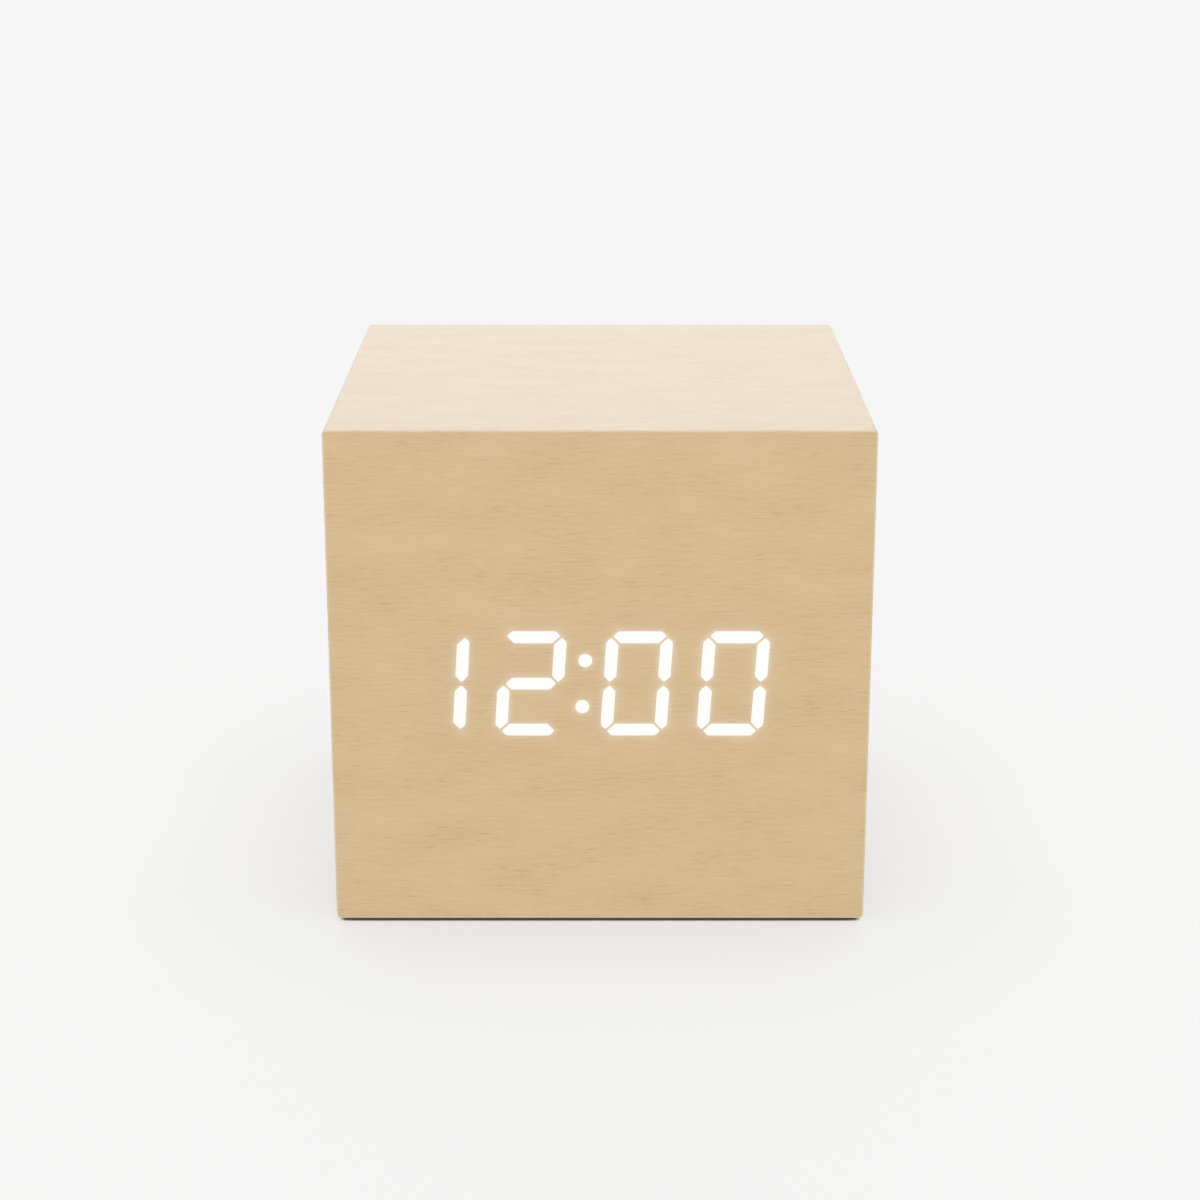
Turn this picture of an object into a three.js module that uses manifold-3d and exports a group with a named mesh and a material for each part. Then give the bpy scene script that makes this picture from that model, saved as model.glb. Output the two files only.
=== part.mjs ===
// Wooden cube alarm clock whose four LED digits shine through a thin wood film on its front.
// Units are millimetres and +Z is up. The front faces -Y, and the origin is the middle of the footprint
// on the surface that the clock stands on.
import * as THREE from "three";
import { mergeVertices } from "three/addons/utils/BufferGeometryUtils.js";
import Module from "manifold-3d";

const wasm = await Module();
wasm.setup();

// Wooden case: a folded sleeve, a mitred front board and the film over it
const CASE_W = 70;
const CASE_D = 70;
const CASE_H = 66.5;
const BOARD_T = 5;
const FILM_T = 0.4;
const FILM_EASE = 0.15;
const EDGE_R = 0.6;
const CAVITY_R = 2;
const GLUE = 0.1;
const FOOT_D = 6;
const FOOT_T = 1;
const FOOT_PROUD = 0.5;
const FOOT_INSET = 6;
const FOOT_MARGIN = 0.8;

// Corner lands inside the case that take the rear cover's screws
const LAND_W = 8.5;
const LAND_L = 9;

// LED display, a margin in from the case's left inside
const DISPLAY_MARGIN = 3.05;
const DISPLAY_DROP = 0.3;
const DIGIT_W = 8.6;
const DIGIT_H = 14.2;
const DIGIT_PITCH = 12.5;
const COLON_PITCH = 13.7;
const COLON_RISE = 3.15;
const COLON_D = 1.8;
const SEGMENT_T = 1.6;
const SEGMENT_GAP = 0.35;
const SEGMENT_CUT = 1.85;
const SEGMENT_FIT = 0.08;
const SLANT = THREE.MathUtils.degToRad(3.6);
const GUIDE_DEPTH = 3;
const GUIDE_MARGIN = 0.2;
const HOUSING_DEPTH = 8;
const HOUSING_MARGIN_X = 1.2;
const HOUSING_MARGIN_Y = 2.4;
const WINDOW_FIT = 0.3;

// Circuit boards and what sits on them
const PCB_T = 1.6;
const PCB_R = 1;
const DISPLAY_BOARD_MARGIN = 6;
const BOARD_HOLE_INSET = 3;
const SPACER_D = 4.4;
const CHIP_W = 10;
const CHIP_H = 4;
const CHIP_T = 1.6;
const CHIP_LEADS = 8;
const CHIP_LEAD_PITCH = 1.2;
const CHIP_LEAD_W = 0.4;
const CHIP_LEAD_L = 1;
const CRYSTAL_D = 3;
const CRYSTAL_L = 8;
const KEY_BOARD_W = 48;
const KEY_BOARD_H = 31;
const SOLDER = 0.1;

// Rear cover
const COVER_T = 2;
const COVER_FIT = 0.25;
const COVER_RECESS = 1;
const RIB_T = 1.5;
const RIB_H = 3;
const RIB_INSET = 0.8;
const STANDOFF_D = 5.6;
const CLEARANCE = 0.25;

// Push buttons and the key switches under them
const BUTTON_D = 7.5;
const BUTTON_PROUD = 0.8;
const BUTTON_DISH = 0.3;
const BUTTON_FLANGE = 1.2;
const BUTTON_FLANGE_T = 0.8;
const BUTTON_STEM_L = 0.6;
const BUTTON_TRAVEL = 0.6;
const BUTTON_PITCH = 14;
const BUTTON_RAISE = 8;
const KEY_SWITCH_W = 6;
const KEY_SWITCH_T = 3.5;
const PLUNGER_D = 3.4;
const PLUNGER_OUT = 1.5;
const PLUNGER_IN = 1.2;
const TOUCH = 0.1;

// Alarm slide switch
const KNOB_W = 3;
const KNOB_H = 2.8;
const KNOB_PROUD = 0.8;
const KNOB_RIBS = 3;
const KNOB_GROOVE = 0.3;
const KNOB_TRAVEL = 3;
const SHUTTER_T = 0.8;
const SHUTTER_LAP = 1;
const LEVER_W = 2;
const LEVER_IN = 1.4;
const SWITCH_W = 9;
const SWITCH_H = 4.6;
const SWITCH_T = 3.2;

// Power socket, buzzer and their places on the rear, as seen from behind
const LOWER_ROW = -8;
const SOCKET_X = -16;
const SOCKET_BASE = 7.2;
const SOCKET_BASE_T = 3.6;
const SOCKET_NOSE_D = 6.2;
const SOCKET_BORE_D = 3.7;
const SOCKET_BORE_L = 6;
const SOCKET_BELOW = 0.2;
const PIN_D = 1.1;
const PIN_SEAT = 1;
const PIN_BELOW = 0.8;
const BUZZER_X = 15;
const BUZZER_D = 9;
const BUZZER_H = 5.5;
const BUZZER_MOUTH_D = 2;
const BUZZER_MOUTH_L = 1;
const SOUND_HOLE_D = 1.5;
const SOUND_RING_R = 2.8;
const SOUND_HOLES = 6;

// Screws
const SCREW_D = 2.6;
const SCREW_HEAD_D = 4.4;
const SCREW_HEAD_T = 1.3;
const COVER_SCREW_L = 9;
const BOARD_SCREW_L = 8;
const TRAY_SCREW_L = 4.2;
const PILOT_FIT = 0.15;
const PILOT_SPARE = 0.5;
const CROSS_W = 0.6;
const CROSS_SPAN = 2.6;
const CROSS_DEPTH = 0.8;

// Battery cells, size AAA
const CELL_D = 10.5;
const CELL_L = 44.5;
const CELL_COUNT = 3;
const CELL_NUB_D = 3.8;
const CELL_NUB_L = 0.8;
const CELL_RIM_R = 0.5;
const CELL_GAP = 0.7;
const CELL_FIT = 0.4;

// Battery tray, its contacts and its door
const TRAY_WALL = 1.4;
const TRAY_ROOF = 1.2;
const MOUTH_WALL = 0.8;
const TRAY_FIT = 0.25;
const FLANGE_T = 1.6;
const FLANGE_X = 2.5;
const FLANGE_Y = 5.4;
const FLANGE_RECESS = 0.1;
const TRAY_SCREW_X = 18;
const RIDGE_W = 1.8;
const RIDGE_DROP = 2.4;
const END_RIB_T = 1.2;
const CONTACT_T = 0.4;
const CONTACT_W = 8;
const CONTACT_H = 8.4;
const CONTACT_R = 0.6;
const CONTACT_BUMP_D = 3;
const CONTACT_BUMP_H = 0.5;
const TAB_W = 2.4;
const TAB_OUT = 2.5;
const SPRING_WIRE_D = 0.7;
const SPRING_BASE_D = 7;
const SPRING_TIP_D = 4.6;
const SPRING_TURNS = 2.5;
const SPRING_L = 3.4;
const DOOR_T = 1.6;
const DOOR_RECESS = 0.2;
const DOOR_PIN_D = 1;
const DOOR_PIN_L = 0.6;
const DOOR_PIN_FIT = 0.12;
const LATCH_W = 10;
const LATCH_L = 5;
const LATCH_SLOT = 0.8;
const LATCH_NOTCH_D = 7;
const LATCH_NOTCH_DEPTH = 0.8;
const LATCH_NOTCH_PLACE = 0.3;

// Internal wiring
const RIBBON_W = 10;
const RIBBON_T = 0.9;
const RIBBON_EDGE = 3;
const LEAD_D = 1.4;
const LEAD_RISE = 12;
const LEAD_RUN = 14;
const LEAD_X = 10;
const WIRE_GAP = 0.3;

// Smoothness of round shapes
const ROUND_SIDES = 24;
const SMALL_SIDES = 12;
const ARC_STEPS = 4;
const WIRE_SIDES = 6;
const WIRE_STEPS = 20;
const COIL_SIDES = 5;
const COIL_STEPS = 8;
const SAME_POINT = 1e-4;
const THROUGH = 1;
const SINK = 0.1;

// Sizes that follow from the ones above
const cavityW = CASE_W - 2 * BOARD_T;
const cavityH = CASE_H - 2 * BOARD_T;
const caseMiddle = FOOT_PROUD + CASE_H / 2;
const panelFront = CASE_D / 2 - FILM_T - GLUE;
const panelBack = panelFront - BOARD_T;
const boardFront = panelFront - HOUSING_DEPTH - GLUE;
const boardBack = boardFront - PCB_T;
const displaySpan = 2 * DIGIT_PITCH + COLON_PITCH;
const housingW = displaySpan + DIGIT_W + 2 * HOUSING_MARGIN_X;
const housingH = DIGIT_H + 2 * HOUSING_MARGIN_Y;
const displayX = DISPLAY_MARGIN + housingW / 2 - cavityW / 2;
const displayBoardH = housingH + 2 * DISPLAY_BOARD_MARGIN;
const boardHoleX = housingW / 2 - BOARD_HOLE_INSET;
const boardHoleY = displayBoardH / 2 - BOARD_HOLE_INSET;
const spacerL = panelBack - boardFront - 2 * GLUE;
const coverW = cavityW - 2 * COVER_FIT;
const coverH = cavityH - 2 * COVER_FIT;
const coverFace = CASE_D / 2 - COVER_RECESS;
const landX = cavityW / 2 - LAND_W / 2;
const landY = cavityH / 2 - LAND_W / 2;
const switchStack = KEY_SWITCH_T + SOLDER + PLUNGER_OUT;
const standoffL = CLEARANCE + BUTTON_FLANGE_T + BUTTON_STEM_L + TOUCH + switchStack;
const keyBoardFace = -COVER_T - standoffL - GLUE;
const keyBoardBack = keyBoardFace - PCB_T;
const keyBoardHoleX = KEY_BOARD_W / 2 - BOARD_HOLE_INSET;
const cellPitch = CELL_D + CELL_GAP;
const bayW = CELL_COUNT * cellPitch;
const bayL = CELL_L + SPRING_L + 2 * (CONTACT_T + TOUCH + GLUE) + CONTACT_BUMP_H;
const trayW = bayW + 2 * TRAY_WALL;
const trayL = bayL + 2 * TRAY_WALL;
const mouthW = trayW - 2 * MOUTH_WALL;
const mouthL = trayL - 2 * MOUTH_WALL;
const ledge = DOOR_RECESS + DOOR_T + GLUE;
const cellMiddle = ledge + CELL_FIT + CELL_D / 2;
const trayTop = cellMiddle + CELL_D / 2 + CELL_FIT + TRAY_ROOF;
const flangeW = trayW + 2 * FLANGE_Y;
const flangeL = trayL + 2 * FLANGE_X;
const rebate = FLANGE_RECESS + FLANGE_T + GLUE;
const hingeY = mouthW / 2 - CLEARANCE - DOOR_T / 2;
const hingeZ = DOOR_RECESS + DOOR_T / 2;
const contactX = bayL / 2 - GLUE - CONTACT_T;

// Materials
const woodFilm = finish("#d6b992", 0.55, 0);
const clearFilm = translucent("#d6b992", 0.55, 0.7);
const woodBoard = finish("#cba97c", 0.8, 0);
const blackPlastic = finish("#1d1d1f", 0.55, 0);
const keyPlastic = finish("#2b2b2e", 0.45, 0);
const footRubber = finish("#3a3a3a", 0.9, 0);
const displayGrey = finish("#33343a", 0.6, 0);
const milkyEpoxy = finish("#fbfaf4", 0.4, 0);
const boardGreen = finish("#1f5a3a", 0.5, 0);
const chipBlack = finish("#17181a", 0.6, 0);
const brightSteel = finish("#c9ccd0", 0.3, 1);
const blackSteel = finish("#3b3c3f", 0.4, 1);
const springSteel = finish("#b9bcc2", 0.35, 1);
const cellLabel = finish("#4d6f8f", 0.35, 0.6);
const ribbonGrey = finish("#a8abb0", 0.6, 0);
const redSleeve = finish("#b3261e", 0.5, 0);
const blackSleeve = finish("#202022", 0.5, 0);

function finish(color, roughness, metalness) {
  return new THREE.MeshStandardMaterial({ color, roughness, metalness, flatShading: true });
}

function translucent(color, roughness, opacity) {
  const material = finish(color, roughness, 0);
  material.transparent = true;
  material.opacity = opacity;
  return material;
}

// A closed three.js geometry as a solid that can be joined and cut
function solid(geometry) {
  const loose = geometry.index ? geometry.toNonIndexed() : geometry;
  const points = new THREE.BufferGeometry();
  points.setAttribute("position", loose.getAttribute("position"));
  const merged = mergeVertices(points, SAME_POINT);
  const vertProperties = Float32Array.from(merged.getAttribute("position").array);
  const triVerts = Uint32Array.from(merged.index.array);
  return new wasm.Manifold(new wasm.Mesh({ numProp: 3, vertProperties, triVerts }));
}

function join(first, ...others) {
  return others.reduce((body, other) => body.add(other), first);
}

function cut(first, ...tools) {
  return tools.reduce((body, tool) => body.subtract(tool), first);
}

// A finished solid as a named mesh
function piece(name, body, material) {
  const result = body.getMesh();
  const geometry = new THREE.BufferGeometry();
  geometry.setAttribute("position", new THREE.BufferAttribute(Float32Array.from(result.vertProperties), 3));
  geometry.setIndex(new THREE.BufferAttribute(Uint32Array.from(result.triVerts), 1));
  geometry.computeVertexNormals();
  const mesh = new THREE.Mesh(geometry, material);
  mesh.name = name;
  return mesh;
}

function placed(mesh, x, y, z) {
  mesh.position.set(x, y, z);
  return mesh;
}

// A rectangle about the middle, with rounded corners if a radius is given
function rectangle(width, height, radius = 0) {
  const shape = new THREE.Shape();
  if (radius === 0) {
    shape.moveTo(-width / 2, -height / 2);
    shape.lineTo(width / 2, -height / 2);
    shape.lineTo(width / 2, height / 2);
    shape.lineTo(-width / 2, height / 2);
    shape.closePath();
    return shape;
  }
  const x = width / 2 - radius;
  const y = height / 2 - radius;
  shape.absarc(x, -y, radius, -Math.PI / 2, 0);
  shape.absarc(x, y, radius, 0, Math.PI / 2);
  shape.absarc(-x, y, radius, Math.PI / 2, Math.PI);
  shape.absarc(-x, -y, radius, Math.PI, 1.5 * Math.PI);
  shape.closePath();
  return shape;
}

// An outline carried along Z from one height to another
function prism(shape, from, to, x = 0, y = 0) {
  return solid(prismGeometry(shape, from, to, x, y));
}

function prismGeometry(shape, from, to, x = 0, y = 0) {
  const geometry = new THREE.ExtrudeGeometry(shape, {
    depth: to - from,
    bevelEnabled: false,
    curveSegments: ARC_STEPS,
  });
  return geometry.translate(x, y, from);
}

// A box about X and Y that stands between two heights
function block(width, depth, from, to, x = 0, y = 0) {
  const geometry = new THREE.BoxGeometry(width, depth, to - from);
  return solid(geometry.translate(x, y, (from + to) / 2));
}

// A round bar along Z between two heights
function rod(diameter, from, to, x = 0, y = 0, sides = ROUND_SIDES) {
  return solid(rodGeometry(diameter, from, to, x, y, sides));
}

function rodGeometry(diameter, from, to, x = 0, y = 0, sides = ROUND_SIDES) {
  const geometry = new THREE.CylinderGeometry(diameter / 2, diameter / 2, to - from, sides);
  return geometry.rotateX(Math.PI / 2).translate(x, y, (from + to) / 2);
}

// A round bar along X
function rodAlongX(diameter, from, to, y, z, sides = ROUND_SIDES) {
  const geometry = new THREE.CylinderGeometry(diameter / 2, diameter / 2, to - from, sides);
  return solid(geometry.rotateZ(Math.PI / 2).translate((from + to) / 2, y, z));
}

// A profile of radius and height turned about Z
function turned(profile, sides = ROUND_SIDES) {
  const points = profile.map(([radius, height]) => new THREE.Vector2(radius, height));
  return solid(new THREE.LatheGeometry(points, sides).rotateX(Math.PI / 2));
}

function polygon(points) {
  return new THREE.Shape(points.map(([x, y]) => new THREE.Vector2(x, y)));
}

// A wire's outline with a given number of sides
function wireOutline(diameter, sides) {
  const angles = Array.from({ length: sides }, (_, index) => (index / sides) * 2 * Math.PI);
  return polygon(angles.map((angle) => [(diameter / 2) * Math.cos(angle), (diameter / 2) * Math.sin(angle)]));
}

// Wooden case

// The front board's solid between its four mitres, which lean in by the board's thickness, grown by a margin
function mitredBoard(grow) {
  const depth = BOARD_T + grow;
  const back = panelFront - depth;
  const wide = CASE_W / 2 + grow;
  const tall = CASE_H / 2 + grow;
  const front = panelFront;
  const plan = polygon([[-wide, -front], [wide, -front], [wide - depth, -back], [depth - wide, -back]]);
  const side = polygon([[front, -tall], [front, tall], [back, tall - depth], [back, depth - tall]]);
  const planSolid = new THREE.ExtrudeGeometry(plan, { depth: 2 * tall, bevelEnabled: false });
  const sideSolid = new THREE.ExtrudeGeometry(side, { depth: 2 * wide, bevelEnabled: false });
  planSolid.translate(0, 0, -tall).rotateX(-Math.PI / 2);
  sideSolid.translate(0, 0, -wide).rotateY(-Math.PI / 2);
  return solid(planSolid).intersect(solid(sideSolid));
}

// The film's front edges are eased, and its back lies flat on the front board
function frontFilm() {
  const outline = rectangle(CASE_W, CASE_H, EDGE_R);
  const eased = new THREE.ExtrudeGeometry(outline, {
    depth: FILM_T,
    bevelThickness: FILM_EASE,
    bevelSize: FILM_EASE,
    bevelOffset: -FILM_EASE,
    bevelSegments: 2,
    curveSegments: ARC_STEPS,
  });
  eased.translate(0, 0, CASE_D / 2 - FILM_T - FILM_EASE);
  const sheet = prism(outline, CASE_D / 2 - FILM_T, CASE_D / 2);
  return piece("front_film", solid(eased).intersect(sheet), clearFilm);
}

function frontBoard() {
  const outline = prism(rectangle(CASE_W, CASE_H, EDGE_R), panelBack, panelFront);
  const window = block(
    housingW + 2 * WINDOW_FIT,
    housingH + 2 * WINDOW_FIT,
    panelBack - THROUGH,
    panelFront + THROUGH,
    displayX,
    -DISPLAY_DROP,
  );
  const pilots = boardScrewPlaces().map(([x, y]) => {
    const bottom = boardBack + BOARD_SCREW_L + PILOT_SPARE;
    return rod(SCREW_D + 2 * PILOT_FIT, panelBack - THROUGH, bottom, x, y, SMALL_SIDES);
  });
  return piece("front_board", cut(mitredBoard(0).intersect(outline), window, ...pilots), woodBoard);
}

// The sleeve is drawn in the front's frame, with its lands for the rear cover's screws left in the corners
function caseSleeve() {
  const rear = -CASE_D / 2;
  const front = panelFront;
  const landEnd = -coverFace + COVER_T + GLUE;
  const outside = prism(rectangle(CASE_W, CASE_H, EDGE_R), rear, front);
  const inside = prism(rectangle(cavityW, cavityH, CAVITY_R), rear - THROUGH, front + THROUGH);
  const pilotEnd = -coverFace + COVER_SCREW_L + PILOT_SPARE;
  let body = cut(outside, inside);
  for (const [x, y] of cornerPlaces(landX, landY)) {
    const land = block(LAND_W + SINK, LAND_W + SINK, landEnd, landEnd + LAND_L, x, y);
    const pilot = rod(SCREW_D + 2 * PILOT_FIT, landEnd - THROUGH, pilotEnd, x, y, SMALL_SIDES);
    body = cut(join(body, land), pilot);
  }
  return piece("case_sleeve", cut(body, mitredBoard(GLUE * Math.SQRT2), ...baseCuts()), woodFilm);
}

// Openings in the base for the tray, its flange, its screws and the feet
function baseCuts() {
  const opening = rectangle(trayL + 2 * TRAY_FIT, trayW + 2 * TRAY_FIT);
  const recess = rectangle(flangeL + 2 * TRAY_FIT, flangeW + 2 * TRAY_FIT, CAVITY_R);
  const seatDepth = FOOT_T - FOOT_PROUD + GLUE;
  const pilotDepth = FLANGE_RECESS + TRAY_SCREW_L + PILOT_SPARE;
  const seats = footPlaces().map(([x, y]) => rodGeometry(FOOT_D + 2 * GLUE, -THROUGH, seatDepth, x, y));
  const pilots = trayScrewPlaces().map(([x, y]) => {
    return rodGeometry(SCREW_D + 2 * PILOT_FIT, -THROUGH, pilotDepth, x, y, SMALL_SIDES);
  });
  const mouth = prismGeometry(opening, -THROUGH, BOARD_T + THROUGH);
  const rim = prismGeometry(recess, -THROUGH, rebate);
  return [mouth, rim, ...seats, ...pilots].map(fromBase);
}

// A shape drawn above the case's underside, as a solid in the front's frame
function fromBase(geometry) {
  return solid(geometry.rotateX(-Math.PI / 2).translate(0, -CASE_H / 2, 0));
}

function cornerPlaces(x, y) {
  return [[-x, -y], [x, -y], [x, y], [-x, y]];
}

// The feet stand outside the battery tray's flange
function footPlaces() {
  const y = flangeW / 2 + TRAY_FIT + FOOT_MARGIN + FOOT_D / 2;
  return cornerPlaces(CASE_W / 2 - FOOT_INSET, y);
}

function footPad(number, x, y) {
  const pad = rod(FOOT_D, 0, FOOT_T);
  return placed(piece(`foot_pad_${number}`, pad, footRubber), x, y, 0);
}

// LED display

// The seven segments of a digit as outlines about its middle, grown by a margin and leaning by the slant
function digitSegments(grow) {
  const x = DIGIT_W / 2 + grow;
  const y = DIGIT_H / 2 + grow;
  const t = SEGMENT_T + 2 * grow;
  const gap = (SEGMENT_GAP - 2 * grow) / Math.SQRT2;
  const corner = SEGMENT_CUT + (2 - Math.SQRT2) * grow;
  const near = (corner - gap) / 2;
  const far = (corner + gap) / 2;
  const top = [
    [t + gap - x, y - t],
    [x - t - gap, y - t],
    [x - far, y - near],
    [x - corner, y],
    [corner - x, y],
    [far - x, y - near],
  ];
  const middle = [
    [t + gap - x, -t / 2],
    [x - t - gap, -t / 2],
    [x - t / 2 - gap, 0],
    [x - t - gap, t / 2],
    [t + gap - x, t / 2],
    [t / 2 + gap - x, 0],
  ];
  const upperRight = [
    [x - t, t / 2 + gap],
    [x - t / 2, gap],
    [x, t / 2 + gap],
    [x, y - corner],
    [x - near, y - far],
    [x - t, y - t - gap],
  ];
  const outlines = [top, upperRight, flipY(upperRight), flipY(top)];
  outlines.push(flipX(flipY(upperRight)), flipX(upperRight), middle);
  return outlines.map((outline) => polygon(outline.map(lean)));
}

function flipX(outline) {
  return outline.map(([x, y]) => [-x, y]).reverse();
}

function flipY(outline) {
  return outline.map(([x, y]) => [x, -y]).reverse();
}

function lean([x, y]) {
  return [x + y * Math.tan(SLANT), y];
}

function digitPlaces() {
  const inner = COLON_PITCH / 2;
  const outer = inner + DIGIT_PITCH;
  return [-outer, -inner, inner, outer];
}

function colonPlaces() {
  return [-COLON_RISE, COLON_RISE].map((y) => lean([0, y]));
}

// The slanted block of epoxy behind one digit's segments
function digitBack(grow) {
  const x = DIGIT_W / 2 + GUIDE_MARGIN + grow;
  const y = DIGIT_H / 2 + GUIDE_MARGIN + grow;
  return polygon(cornerPlaces(x, y).map(lean));
}

function colonBack(grow) {
  const x = COLON_D / 2 + grow;
  const y = COLON_RISE + COLON_D / 2 + grow;
  return polygon(cornerPlaces(x, y).map(lean));
}

// The display's pieces share a frame whose Z is 0 at the housing's front face
function digitGuide(number, x) {
  const back = prism(digitBack(0), -HOUSING_DEPTH, -GUIDE_DEPTH);
  const segments = digitSegments(0).map((outline) => prism(outline, -GUIDE_DEPTH - SEGMENT_FIT, 0));
  return placed(piece(`digit_guide_${number}`, join(back, ...segments), milkyEpoxy), x, 0, 0);
}

function colonGuide() {
  const back = prism(colonBack(0), -HOUSING_DEPTH, -GUIDE_DEPTH);
  const dots = colonPlaces().map(([x, y]) => rod(COLON_D, -GUIDE_DEPTH - SEGMENT_FIT, 0, x, y, SMALL_SIDES));
  return piece("colon_guide", join(back, ...dots), milkyEpoxy);
}

function displayHousing() {
  const body = block(housingW, housingH, -HOUSING_DEPTH, 0);
  const pocketTop = SEGMENT_FIT - GUIDE_DEPTH;
  const tools = [prism(colonBack(SEGMENT_FIT), -HOUSING_DEPTH - THROUGH, pocketTop)];
  for (const [x, y] of colonPlaces()) {
    const hole = COLON_D + 2 * SEGMENT_FIT;
    tools.push(rod(hole, -HOUSING_DEPTH, THROUGH, x, y, SMALL_SIDES));
  }
  for (const x of digitPlaces()) {
    tools.push(prism(digitBack(SEGMENT_FIT), -HOUSING_DEPTH - THROUGH, pocketTop, x));
    for (const outline of digitSegments(SEGMENT_FIT)) {
      tools.push(prism(outline, -HOUSING_DEPTH, THROUGH, x));
    }
  }
  return piece("display_housing", cut(body, ...tools), displayGrey);
}

function boardScrewPlaces() {
  return [[-boardHoleX, boardHoleY], [boardHoleX, -boardHoleY]].map(([x, y]) => [
    x + displayX,
    y - DISPLAY_DROP,
  ]);
}

function displayBoard() {
  const plate = prism(rectangle(housingW, displayBoardH, PCB_R), boardBack, boardFront);
  const holes = boardScrewPlaces().map(([x, y]) => {
    const hole = SCREW_D + 2 * CLEARANCE;
    return rod(hole, boardBack - THROUGH, boardFront + THROUGH, x - displayX, y + DISPLAY_DROP, SMALL_SIDES);
  });
  return placed(piece("display_board", cut(plate, ...holes), boardGreen), displayX, -DISPLAY_DROP, 0);
}

function boardSpacer(number, x, y) {
  const tube = rod(SPACER_D, 0, spacerL);
  const hole = rod(SCREW_D + 2 * CLEARANCE, -THROUGH, spacerL + THROUGH, 0, 0, SMALL_SIDES);
  const mesh = piece(`board_spacer_${number}`, cut(tube, hole), keyPlastic);
  return placed(mesh, x, y, boardFront + GLUE);
}

// A chip lies on the back of the display board with a row of leads along each long side
function clockChip() {
  const base = boardBack - SOLDER;
  const body = block(CHIP_W, CHIP_H, base - CHIP_T, base);
  const leads = [];
  for (let index = 0; index < CHIP_LEADS; index += 1) {
    const x = (index - (CHIP_LEADS - 1) / 2) * CHIP_LEAD_PITCH;
    leads.push(block(CHIP_LEAD_W, CHIP_H + 2 * CHIP_LEAD_L, base - CHIP_LEAD_W, base, x));
  }
  return placed(piece("clock_chip", join(body, ...leads), chipBlack), displayX, -DISPLAY_DROP, 0);
}

function watchCrystal() {
  const height = boardBack - SOLDER - CRYSTAL_D / 2;
  const can = rodAlongX(CRYSTAL_D, -CRYSTAL_L / 2, CRYSTAL_L / 2, 0, height, SMALL_SIDES);
  const mesh = piece("watch_crystal", can, brightSteel);
  return placed(mesh, displayX + CHIP_W / 2 + CRYSTAL_L, -DISPLAY_DROP, 0);
}

// Screws point along -Z with the top of the head at Z = 0

function crossRecess() {
  const across = block(CROSS_SPAN, CROSS_W, -CROSS_DEPTH, THROUGH);
  const along = block(CROSS_W, CROSS_SPAN, -CROSS_DEPTH, THROUGH);
  return join(across, along);
}

function panScrew(name, length, material) {
  const dome = SCREW_HEAD_T / 2;
  const body = turned([
    [0, -SCREW_HEAD_T - length],
    [SCREW_D / 2, -SCREW_HEAD_T - length + SCREW_D / 2],
    [SCREW_D / 2, -SCREW_HEAD_T],
    [SCREW_HEAD_D / 2, -SCREW_HEAD_T],
    [SCREW_HEAD_D / 2, -dome],
    [SCREW_HEAD_D / 2 - dome, 0],
    [0, 0],
  ], SMALL_SIDES);
  return piece(name, cut(body, crossRecess()), material);
}

function flatScrew(name, length, material) {
  const body = turned([
    [0, -length],
    [SCREW_D / 2, -length + SCREW_D / 2],
    [SCREW_D / 2, -SCREW_HEAD_T],
    [SCREW_HEAD_D / 2, 0],
    [0, 0],
  ], SMALL_SIDES);
  return piece(name, cut(body, crossRecess()), material);
}

// The hole for a flat-headed screw through a plate whose outer face is at Z = 0
function sunkHole(thickness, x, y) {
  const radius = SCREW_D / 2 + PILOT_FIT;
  const headRadius = SCREW_HEAD_D / 2 + PILOT_FIT;
  const tool = new THREE.LatheGeometry([
    new THREE.Vector2(0, -thickness - THROUGH),
    new THREE.Vector2(radius, -thickness - THROUGH),
    new THREE.Vector2(radius, -SCREW_HEAD_T - PILOT_FIT),
    new THREE.Vector2(headRadius, -PILOT_FIT),
    new THREE.Vector2(headRadius, THROUGH),
    new THREE.Vector2(0, THROUGH),
  ], SMALL_SIDES);
  return solid(tool.rotateX(Math.PI / 2).translate(x, y, 0));
}

// Rear cover, in a frame seen from behind with Z = 0 at the cover's outer face

function buttonPlaces() {
  return [-BUTTON_PITCH, 0, BUTTON_PITCH];
}

function soundHolePlaces() {
  const places = [[BUZZER_X, LOWER_ROW]];
  for (let index = 0; index < SOUND_HOLES; index += 1) {
    const angle = (index / SOUND_HOLES) * 2 * Math.PI;
    places.push([
      BUZZER_X + SOUND_RING_R * Math.cos(angle),
      LOWER_ROW + SOUND_RING_R * Math.sin(angle),
    ]);
  }
  return places;
}

function rearCover() {
  const inner = -COVER_T;
  const ribX = coverW / 2 - RIB_INSET - RIB_T / 2;
  const ribY = coverH / 2 - RIB_INSET - RIB_T / 2;
  const ribW = cavityW - 2 * (LAND_W + COVER_FIT + CLEARANCE);
  const ribH = cavityH - 2 * (LAND_W + COVER_FIT + CLEARANCE);
  let body = prism(rectangle(coverW, coverH, CAVITY_R), inner, 0);
  for (const side of [-1, 1]) {
    const flat = block(ribW, RIB_T, inner - RIB_H, inner + SINK, 0, side * ribY);
    const upright = block(RIB_T, ribH, inner - RIB_H, inner + SINK, side * ribX, 0);
    const post = rod(STANDOFF_D, inner - standoffL, inner + SINK, side * keyBoardHoleX, 0);
    body = join(body, flat, upright, post);
  }
  return piece("rear_cover", cut(body, ...coverHoles()), blackPlastic);
}

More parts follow.
